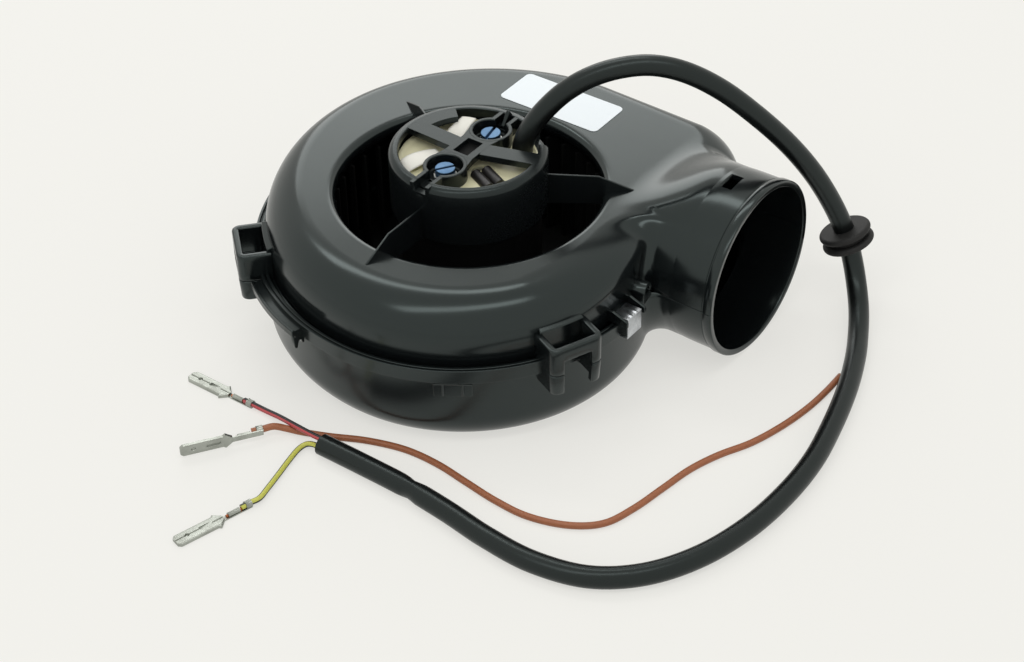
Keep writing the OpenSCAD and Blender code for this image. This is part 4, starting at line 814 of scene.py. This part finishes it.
# rim: its section (reach from the wall, height) carried along the straight wall, the scroll arc and the tongue arc
def makeRim(s, shell):
    (sx, sy, sr), (tx, ty, tr), (cx, cy, cr) = shell["scroll"], shell["tongue"], shell["corner"]
    straight, scroll, tongue = s["steps"]
    end = 360 + s["end"]
    wall = stacked(np.linspace(cx, sx, straight)[:-1], sy + sr, 0)[:, :2]
    place = np.concatenate([wall, arcLine(sx, sy, sr, 90, 270, scroll)[:-1], arcLine(tx, ty, tr, 270, end, tongue)])
    a = np.radians(np.concatenate([np.full(len(wall), 90.0), np.linspace(90, 270, scroll)[:-1],
                                   np.linspace(270, end, tongue)]))
    side = stacked(np.cos(a), np.sin(a), 0)
    shape = carried(s["section"], np.column_stack([place, 0 * a]), side, np.tile(up, (len(a), 1)))
    putMesh("partingRim", *shape, baseBlack, bevel=(0.25, 2), **ofLower)


# axes at a place on an arc of the plan: middle on the wall, outward, along
def atWall(arc, turn):
    x, y, r = arc
    a = np.radians(turn)
    out = np.array([np.cos(a), np.sin(a), 0])
    return np.array([x, y, 0]) + r * out, out, np.array([-np.sin(a), np.cos(a), 0])


# a shape drawn in (out from the wall, along it, height) put at a place on the plan
def putAt(shape, place):
    (at, out, along), (points, faces) = place, shape
    return at + points[:, :1] * out + points[:, 1:2] * along + points[:, 2:] * np.array(up), faces


lugSet = {"places": {"Front": ("tongue", -24.0), "Left": ("scroll", -132.5)}, "half": 12.0, "reach": 14.0, "bar": 3.0,
          "cheek": (-1.0, 3.0, 7.0), "corner": 3.6, "window": 6.5, "windowSteps": 6, "windowTop": 46.6,
          "loop": (40.1, 43.0, 46.6, 50.0, 53.0), "legs": (30.0, 35.0, 39.9), "draft": 0.04, "edge": (0.7, 3, 50),
          "back": {"half": 10.0, "sunk": 1.0, "reach": 1.6, "low": 41.0, "high": (54.2, 54.8)}}


# lug: a wall carried along a U in plan (out along one cheek, across the bar, back along the other), between
# heights, with the faces under the bar left out; the legs below narrow by the draft for every 10 mm
def lugWall(s, heights, draft, windowTop):
    h, reach, window, steps = s["half"], s["reach"], s["window"], s["windowSteps"]
    bend = arcLine(reach - s["corner"], h - s["corner"], s["corner"], 90, 0, 8)
    half = np.concatenate([[(x, h) for x in s["cheek"]], bend, [(reach, window)]])
    front = [(reach, y) for y in np.linspace(window, -window, steps + 1)[1:-1]]
    path = np.concatenate([half, front, half[::-1] * (1, -1)])
    z = np.asarray(heights, float)
    shrink = 1 - draft * (heights[-1] - z)[:, None] / 10
    grid = stacked(path[:, 0] * shrink, path[:, 1] * shrink, z[:, None])
    faces = gridFaces(*grid.shape[:2], closeColumns=False)
    row, column = np.divmod(np.arange(len(faces)), len(path) - 1)
    opening = (z[row] < windowTop - 0.01) & (column >= len(half) - 1) & (column < len(half) - 1 + steps)
    return grid.reshape(-1, 3), [faces[~opening]]


# lugs: loop, legs, and a plate on the wall behind the loop
def makeLugs(s, shell):
    back = s["back"]
    for name, (arc, turn) in s["places"].items():
        place = atWall(shell[arc], turn)
        loop = putAt(lugWall(s, s["loop"], 0.0, s["windowTop"]), place)
        putSheet("lug" + name, *loop, shellBlack, s["bar"], s["edge"], **ofUpper)
        legs = putAt(lugWall(s, s["legs"], s["draft"], s["loop"][-1]), place)
        putSheet("lugLegs" + name, *legs, baseBlack, s["bar"], s["edge"], **ofLower)
        x, y, r = shell[arc]
        half, inner, outer = np.degrees(back["half"] / r), r - back["sunk"], r + back["reach"]
        section = [(inner, back["low"]), (outer, back["low"]), (outer, back["high"][0]), (inner, back["high"][1])]
        plate = turned(section, 16, (x, y), turn - half, turn + half)
        putMesh("lugBack" + name, *plate, shellBlack, bevel=(0.4, 2), **ofUpper)


ledgeSet = {"turn": (-125.0, -103.0), "reach": (3.2, 10.5), "height": (38.0, 42.0), "lip": (1.2, 1.4, 0.8),
            "prong": [(4.2, 0.5), (10.0, 0.5), (9.4, -5.5), (8.2, -6.0), (7.2, -2.4), (6.2, -2.4), (5.6, -4.5),
                      (4.6, -4.5)],
            "prongTurn": -103.6, "prongHalf": 1.0}


# ledge: a flat band of the rim, from the lug to two prongs that hang at its end
def makeLedge(s, shell):
    x, y, r = shell["scroll"]
    a, b = r + s["reach"][0], r + s["reach"][1]
    (low, high), (under, over, step) = s["height"], s["lip"]
    band = turned([(a, low), (b - under, low), (b - under, low + step), (b, low + step), (b, high), (b - over, high),
                   (b - over, high - step), (a, high - step)], 40, (x, y), *s["turn"])
    prong = softened(np.array(s["prong"]) + (0, low), 0.5, 4)
    hang = prism(prong, -s["prongHalf"], s["prongHalf"], *acrossWall)
    hang = putAt(hang, atWall(shell["scroll"], s["prongTurn"]))
    putMesh("ledge", *joined(band, hang), baseBlack, bevel=(0.3, 2), **ofLower)


snapSet = {"place": ("tongue", -57.0), "half": 8.0, "low": 27.5, "high": 37.0, "corner": 1.2, "reach": (0.4, 2.6),
           "shelf": [(0.4, 34.4), (3.9, 34.4), (4.1, 35.2), (0.4, 36.2)],
           "rib": [(0.4, 28.1), (3.2, 28.1), (3.8, 34.8), (0.4, 34.8)], "ribs": (-4.0, 4.0), "ribHalf": 0.5}


# snap tab: a plate below the rim with a ledge along its top and two ribs
def makeSnapTab(s, shell):
    arc, turn = s["place"]
    h, rib = s["half"], s["ribHalf"]
    plate = prism(softened(oblong(-h, h, s["low"], s["high"]), s["corner"]), *s["reach"], *alongWall)
    shelf = prism(s["shelf"], -h, h, *acrossWall)
    ribs = [prism(s["rib"], at - rib, at + rib, *acrossWall) for at in s["ribs"]]
    shape = putAt(joined(plate, shelf, *ribs), atWall(shell[arc], turn))
    putMesh("snapTab", *shape, baseBlack, bevel=(0.25, 2), **ofLower)


eyeletSet = {"place": ("tongue", 10.5), "radius": 4.3, "middle": 44.6, "hole": 2.4, "foot": 40.3, "length": (-1.1, 5.4),
             "edge": (0.4, 0.93, 0.05), "holeTurn": (-10, 190), "holeEnd": 0.6}


# eyelet: an arched boss with a round hole, the outline and the hole carried outwards together
def makeEyelet(s, shell):
    arc, turn = s["place"]
    r, low, middle = s["radius"], s["foot"], s["middle"]
    arch = np.concatenate([[(r, low)], arcLine(0, middle, r, 0, 180, 25), [(-r, low)]])
    hole = arcLine(0, middle, s["hole"], *s["holeTurn"], len(arch))
    (back, front), (edge, narrow, drop) = s["length"], s["edge"]
    lines = ((back, arch), (front - edge, arch), (front, arch * (narrow, 1) - (0, drop)), (front, hole),
             (s["holeEnd"], hole))
    grid = np.stack([stacked(x, line[:, 0], line[:, 1]) for x, line in lines])
    putMesh("eyelet", *putAt(closedGrid(grid), atWall(shell[arc], turn)), shellBlack, bevel=(0.2, 2), **ofUpper)


clipSet = {"places": {"Front": ("tongue", -1.0), "Back": ("scroll", 97.0), "Left": ("scroll", 170.0)}, "width": 9.5,
           "thick": 0.8, "sheet": 0.7, "reach": 8.8, "height": (35.7, 46.0), "legs": (3.2, 1.2), "bend": 0.9,
           "bendSteps": 8, "ribs": (1.7, 0.5, 0.25), "ribsFrom": (0.35, 0.3), "gap": 1.0, "tab": (43.0, 45.2),
           "tabBack": -1.1,
           "guard": [(-1.1, 43.0), (9.7, 43.0), (9.7, 45.75), (2.2, 48.5), (-1.1, 48.5)],
           "guardSoft": [0, 0.5, 0.8, 1.5, 0], "guardThick": 1.2, "pad": (36.5, 43.0), "padBack": 2.2, "padHalf": 4.7}


# clip: a strip whose path (reach, height) is bent round the rim, with two pressed ribs along its top; its seat is
# a tab of the upper shell between two sloping guards, over a pad of the lower shell
def makeClips(s, shell):
    (low, high), (below, above), reach, steps = s["height"], s["legs"], s["reach"], s["bendSteps"]
    path = softened([(below, low), (reach, low), (reach, high), (above, high)], [0, s["bend"], s["bend"], 0], steps)
    path = path[steps - 1:1 - steps]
    across = np.linspace(-s["width"] / 2, s["width"] / 2, 41)
    away = np.gradient(path, axis=0)
    away = np.stack([away[:, 1], -away[:, 0]], 1) / np.linalg.norm(away, axis=1, keepdims=True)
    (at, wide, deep), (start, run) = s["ribs"], s["ribsFrom"]
    ribs = np.exp(-((np.abs(across) - at) / wide) ** 2)
    onTop = smoothStep((path[:, 1] - high + start) / run)[:, None]
    out = path[:, None] + away[:, None] * (onTop * deep * (ribs - 1))[:, :, None]
    grid = stacked(out[..., 0], across, out[..., 1])
    strip = grid.reshape(-1, 3), [gridFaces(*grid.shape[:2], closeColumns=False)[:, ::-1]]
    inner, h, thick = reach - s["thick"], s["width"] / 2 + s["gap"], s["guardThick"]
    seat = prism(oblong(s["tabBack"], inner, -h, h), *s["tab"])
    guard = softened(s["guard"], s["guardSoft"], 4)
    guards = [prism(guard, start, start + thick, *acrossWall) for start in (-h - thick, h)]
    pad = prism(oblong(s["padBack"], inner, -s["padHalf"], s["padHalf"]), *s["pad"])
    for name, (arc, turn) in s["places"].items():
        place = atWall(shell[arc], turn)
        putSheet("clip" + name, *putAt(strip, place), springSteel, s["sheet"], slot="clip_steel",
                 stands=["housing_clips"])
        putMesh("clipSeat" + name, *putAt(joined(seat, *guards), place), shellBlack, bevel=(0.25, 2), **ofUpper)
        putMesh("clipPad" + name, *putAt(pad, place), baseBlack, bevel=(0.25, 2), **ofLower)


spokeSet = {"turns": (30.0, 150.0, 270.0), "thick": 2.2, "edge": 0.9, "taper": 6.0,
            "ridge": ([55.0, 70.0], [74.5, 68.25]),
            "outline": [(32.6, 60.0), (58.9, 61.0), (58.9, 66.9), (70.0, 66.9), (70.0, 68.25), (55.0, 74.5),
                        (32.6, 74.5)]}


# spokes: an upright outline (radius, height) between two faces that close towards the upper edge
def makeSpokes(s):
    shapes = []
    outline = np.array(s["outline"])
    high = np.interp(outline[:, 0], *s["ridge"])
    half = np.interp(high - outline[:, 1], [0, s["taper"]], [s["edge"] / 2, s["thick"] / 2])[:, None]
    for turn in s["turns"]:
        at, out, along = atWall((0, 0, 0), turn)
        middle = outline[:, :1] * out + outline[:, 1:] * np.array(up)
        shapes.append(closedGrid(np.stack([middle - half * along, middle + half * along])))
    putMesh("spokes", *joined(*shapes), towerBlack, bevel=(0.25, 3), **ofUpper)


towerSet = {"radius": 33.75, "wall": 2.4, "low": 60.0, "waist": (70.0, 78.0), "top": 86.5, "edge": 3.0, "ring": 29.55,
            "plate": 83.5, "notch": (50.0, 12.0, 80.5), "channel": (270.0, 5.1, 82.5), "wells": 16.0, "well": 7.5,
            "wellOut": 9.3, "floor": 80.5, "post": 78.5, "hole": 2.75, "bars": (17.0, 178.0), "barStart": 6.4,
            "barHalf": 4.0, "centre": 7.0, "pocket": (3.7, 5.5), "pocketFloor": 84.25, "web": (23.4, 137.0, 176.0),
            "drain": 82.5, "drainHalf": 20.0, "belowDrain": 82.0, "strip": 4.8, "trough": 3.0, "troughLow": 79.0,
            "troughStart": 23.4, "drains": ((1, 90.0, 31.6), (-1, 270.0, 33.7)), "rimEdge": 0.4, "columns": 480,
            "barInto": 0.8, "webInto": 0.6, "cheekInto": (0.2, 0.6), "cheek": (155, 25), "barUnder": 0.03,
            "webUnder": 0.02, "cheekUnder": 0.04, "troughUnder": 0.1, "sheet": 0.1, "wellEdge": (0.3, 0.35, 0.5)}


# heights above `base` squeezed under a lower cap, inside a span of angles
def cappedUnder(points, span, base, top):
    middle, half, cap = span
    z, turn = points[:, 2], np.arctan2(points[:, 1], points[:, 0])
    away = np.abs((np.degrees(turn) - middle + 180) % 360 - 180)
    inside = 1 - smoothStep(away - half + 0.5)
    lower = np.where(z > base, base + (z - base) * (cap - base) / (top - base), z)
    points[:, 2] = z + (lower - z) * inside


# tower: a cup wall turned about the axis, its rim rounded over a quarter circle and lowered at the cable and channel
def makeTower(s):
    r, top, edge, ring, inner = s["radius"], s["top"], s["edge"], s["ring"], s["radius"] - s["wall"]
    (middle, waist), soft = s["waist"], s["rimEdge"]
    section = np.concatenate([[(r, s["low"]), (r, middle), (r, waist)], arcLine(r - edge, top - edge, edge, 0, 90, 9),
                              [(ring + soft, top), (ring, top - soft), (ring, s["plate"]), (inner, s["plate"]),
                               (inner, waist), (inner, s["low"])]])
    points, faces = turned(section, s["columns"])
    for span in (s["notch"], s["channel"]):
        cappedUnder(points, span, waist, top)
    putMesh("towerWall", points, faces, towerBlack, sharp=30, **ofUpper)


# plate: two bars from the middle to the ring, a square block with a pocket, a web of the ring, and webs between
# the block and the wells, each an outline with soft edges; tops differ by hundredths, so that none lies in another
def makePlate(s):
    plate, top, ring, h, c = s["plate"], s["top"], s["ring"], s["barHalf"], s["centre"]
    shapes = []
    for turn in s["bars"]:
        at, out, along = atWall((0, 0, 0), turn)
        shapes.append(prism(oblong(s["barStart"], ring + s["barInto"], -h, h), plate, top - s["barUnder"], out, along))
    pocket, floor = np.array(s["pocket"]), s["pocketFloor"]
    square = np.array(oblong(-1, 1, -1, 1))
    walls = ((c, plate), (c, top), (pocket, top), (pocket, floor))
    shapes.append(closedGrid(np.stack([np.column_stack([square * half, np.full(4, z)]) for half, z in walls])))
    inner, start, end = s["web"]
    section = oblong(inner, ring + s["webInto"], plate, top - s["webUnder"])
    shapes.append(turned(section, 30, (0, 0), start, end))
    (intoWell, intoBlock), (start, end), t = s["cheekInto"], s["cheek"], s["sheet"]
    for side in (1, -1):
        arc = arcLine(0, side * s["wells"], s["wellOut"] - intoWell, side * -start, side * -end, 21)
        web = np.concatenate([arc, [(c, side * (c - intoBlock)), (-c, side * (c - intoBlock))]])
        shapes.append(prism(web, plate, top - s["cheekUnder"]))
    # a thin sheet laid on the pocket's own floor in a darker, duller black: painted shade in the recess
    putMesh("pocketFloor", *prism(square * (pocket - t), floor - t, floor + t), pocketPaintedShade, **ofUpper)
    putMesh("towerPlate", *joined(*shapes), towerBlack, bevel=(0.35, 3), **ofUpper)


# screw wells: cups turned about the screws, their rims lowered at the drain channels, which are troughs
def makeWells(s):
    well, out, top, floor, post, hole = (s[key] for key in ("well", "wellOut", "top", "floor", "post", "hole"))
    drain, below, t, w, high = s["drain"], s["belowDrain"], s["trough"], s["strip"], s["top"] - s["troughUnder"]
    e, f, g = s["wellEdge"]
    section = [(hole, post), (out, post), (out, below), (out, top - e), (out - e, top), (well + f, top),
               (well, top - f), (well, below), (well, floor + g), (well - g, floor), (hole, floor)]
    trough = [(-w, high), (-t, high), (-t, drain), (t, drain), (t, high), (w, high), (w, s["troughLow"]),
              (-w, s["troughLow"])]
    shapes = []
    for side, turn, far in s["drains"]:
        points, faces = turned(section, 180)
        cappedUnder(points, (turn, s["drainHalf"], drain), below, top)
        shapes.append((points + (0, side * s["wells"], 0), faces))
        shapes.append(prism(trough, side * s["troughStart"], side * far, *acrossWall))
    putMesh("screwWells", *joined(*shapes), towerBlack, bevel=(0.2, 2), **ofUpper)


screwSet = {"head": 4.25, "low": 81.7, "slotFloor": 83.5, "high": 85.0, "slot": 0.6, "hub": 0.01, "overlap": 0.02,
            "turns": ((16.0, 101.0), (-16.0, 55.0))}


# screw heads: a disc, and on it the two segments that the slot leaves
def makeScrews(s):
    shapes = []
    floor, r = s["slotFloor"], s["head"]
    half = np.degrees(np.arcsin(s["slot"] / r))
    for y, turn in s["turns"]:
        shapes.append(turned(oblong(s["hub"], r, s["low"], floor + s["overlap"]), 64, (0, y)))
        for start in (turn + half, turn + 180 + half):
            shapes.append(prism(arcLine(0, y, r, start, start + 180 - 2 * half, 40), floor, s["high"]))
    putMesh("screwHeads", *joined(*shapes), blueZinc, "blue_zinc", ["motor_screws"], bevel=(0.3, 3, 50))


finSet = {"outline": [(24.5, 81.5), (32.5, 81.5), (32.5, 83.5), (30.75, 86.5), (28.95, 89.2), (24.5, 83.5)],
          "soft": [0, 0, 0.6, 1.5, 0.7, 0.4], "thick": 1.8}


# fin: a leaf that stands in the channel behind the back well
def makeFin(s):
    shape = prism(softened(s["outline"], s["soft"]), -s["thick"] / 2, s["thick"] / 2, *alongWall)
    putMesh("channelFin", *shape, towerBlack, bevel=(0.35, 3), **ofUpper)


coverSet = {"radius": 30.4, "hole": (8.3, -3.1, 4.0), "columns": 96,
            "rings": [(0, 76.9), (0, 79.4), (0.02, 79.7), (0.3, 79.7), (0.6, 79.7), (0.9, 79.7), (0.92, 80.1),
                      (0.93, 80.3), (0.99, 80.3), (1, 80.0), (1, 76.9), (0.5, 76.9)]}


# brush cover: rings (share of the way out, height) drawn between a small round hole beside the middle and the
# outer edge, which stands up as a rim
def makeCover(s):
    hole, edge = (arcLine(*c, 0, 360, s["columns"] + 1)[:-1] for c in (s["hole"], (0, 0, s["radius"])))
    grid = np.stack([np.column_stack([hole + (edge - hole) * t, np.full(len(hole), z)]) for t, z in s["rings"]])
    putMesh("brushCover", *outward(grid, [gridFaces(*grid.shape[:2], True)]), creamPlastic, "cream_plastic")


tapeSet = {"back": [[(-19.5, 4.5, 79.1), (-18.9, 7, 80.6), (-18.4, 11, 82.6), (-18.1, 16, 83.7), (-18, 20, 84)],
                    [(-10.5, 4.5, 79.1), (-9.9, 7, 80.6), (-10.2, 11.5, 82.6), (-11.2, 17, 83.7), (-12, 22, 84)]],
           "front": [[(-15, -3.5, 81.8), (-18, -8, 82.2), (-20.6, -13, 82.2), (-22.2, -17.5, 81.4), (-23, -20, 79.8)],
                     [(-9.6, -5.6, 81.8), (-10.4, -9.5, 82.2), (-11.4, -15, 82.2), (-13.4, -20, 81.4),
                      (-15, -23, 79.8)]]}


# blank paper tapes on the cream blocks: straight lines drawn between two smooth edges, arched by a half wave
def makeTapes(s, arch=0.25, thick=0.15):
    for name, edges in s.items():
        left, right = (smoothLine(edge, 6)[:, None] for edge in edges)
        share = np.linspace(0, 1, 9)[None, :, None]
        grid = left + (right - left) * share
        grid[..., 2] += arch * np.sin(np.pi * share[..., 0])
        faces = gridFaces(*grid.shape[:2], closeColumns=False)
        putSheet(name + "Tape", grid, [faces], tapeWhite, thick, slot="label_white")


springSet = {"wire": 0.7, "turns": 4, "steps": 24, "travel": 2.0, "sides": 10}


# brush springs: a coil (a circle drawn on along x) as long and as wide as the node
def makeSprings(s):
    half = s["wire"] / 2
    a = np.linspace(0, 2 * np.pi * s["turns"], s["turns"] * s["steps"] + 1)
    for name, outer in (("right", 1), ("left", 0)):
        low, high = box = [np.array(corner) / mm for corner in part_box("spring_" + name)]
        r, middle = (high[2] - low[2]) / 2 - half, (low + high) / 2
        x = np.linspace(low[0] + half, high[0] - half, len(a))
        line = stacked(x, middle[1] + r * np.cos(a), middle[2] + r * np.sin(a))
        piece = tube("brushSpring" + name.title(), line, half, s["sides"], springSteel, slot="spring_steel",
                     stands=["spring_" + name])
        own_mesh(piece)


makeUpperShell(shellSet)
makeLowerShell(shellSet)
makePipe(pipeSet)
makeRim(rimSet, shellSet)
makeLugs(lugSet, shellSet)
makeLedge(ledgeSet, shellSet)
makeSnapTab(snapSet, shellSet)
makeEyelet(eyeletSet, shellSet)
makeClips(clipSet, shellSet)
print("housing pieces made")
makeSpokes(spokeSet)
makeTower(towerSet)
makePlate(towerSet)
makeWells(towerSet)
makeScrews(screwSet)
makeFin(finSet)
makeCover(coverSet)
makeTapes(tapeSet)
makeSprings(springSet)
print("tower pieces made")


# a finish on the nodes that keep their own solid
def dress(finish, *names):
    for name in names:
        mesh = nodes[name].data
        mesh.materials.clear()
        mesh.materials.append(finish)


dress(fanBlack, "impeller")
dress(grommetRubber, "cable_grommet")
dress(springSteel, "impeller_clip")
dress(zincPlate, "lock_washers", "bearing_retainers")
dress(labelWhite, "label")
dress(canBlack, "motor_can")
dress(ferriteGrey, "magnets")
dress(coreSteel, "armature_core")
dress(bronze, "upper_bearing", "lower_bearing")
dress(fibreBrown, "thrust_washers")
dress(creamPlastic, "brush_plate")
dress(brass, "brush_holders")
dress(copper, "armature_windings", "commutator")
dress(chokeBlack, "chokes")
dress(shaftSteel, "shaft")
dress(carbonGrey, "brush_left", "brush_right")
print("nodes dressed")
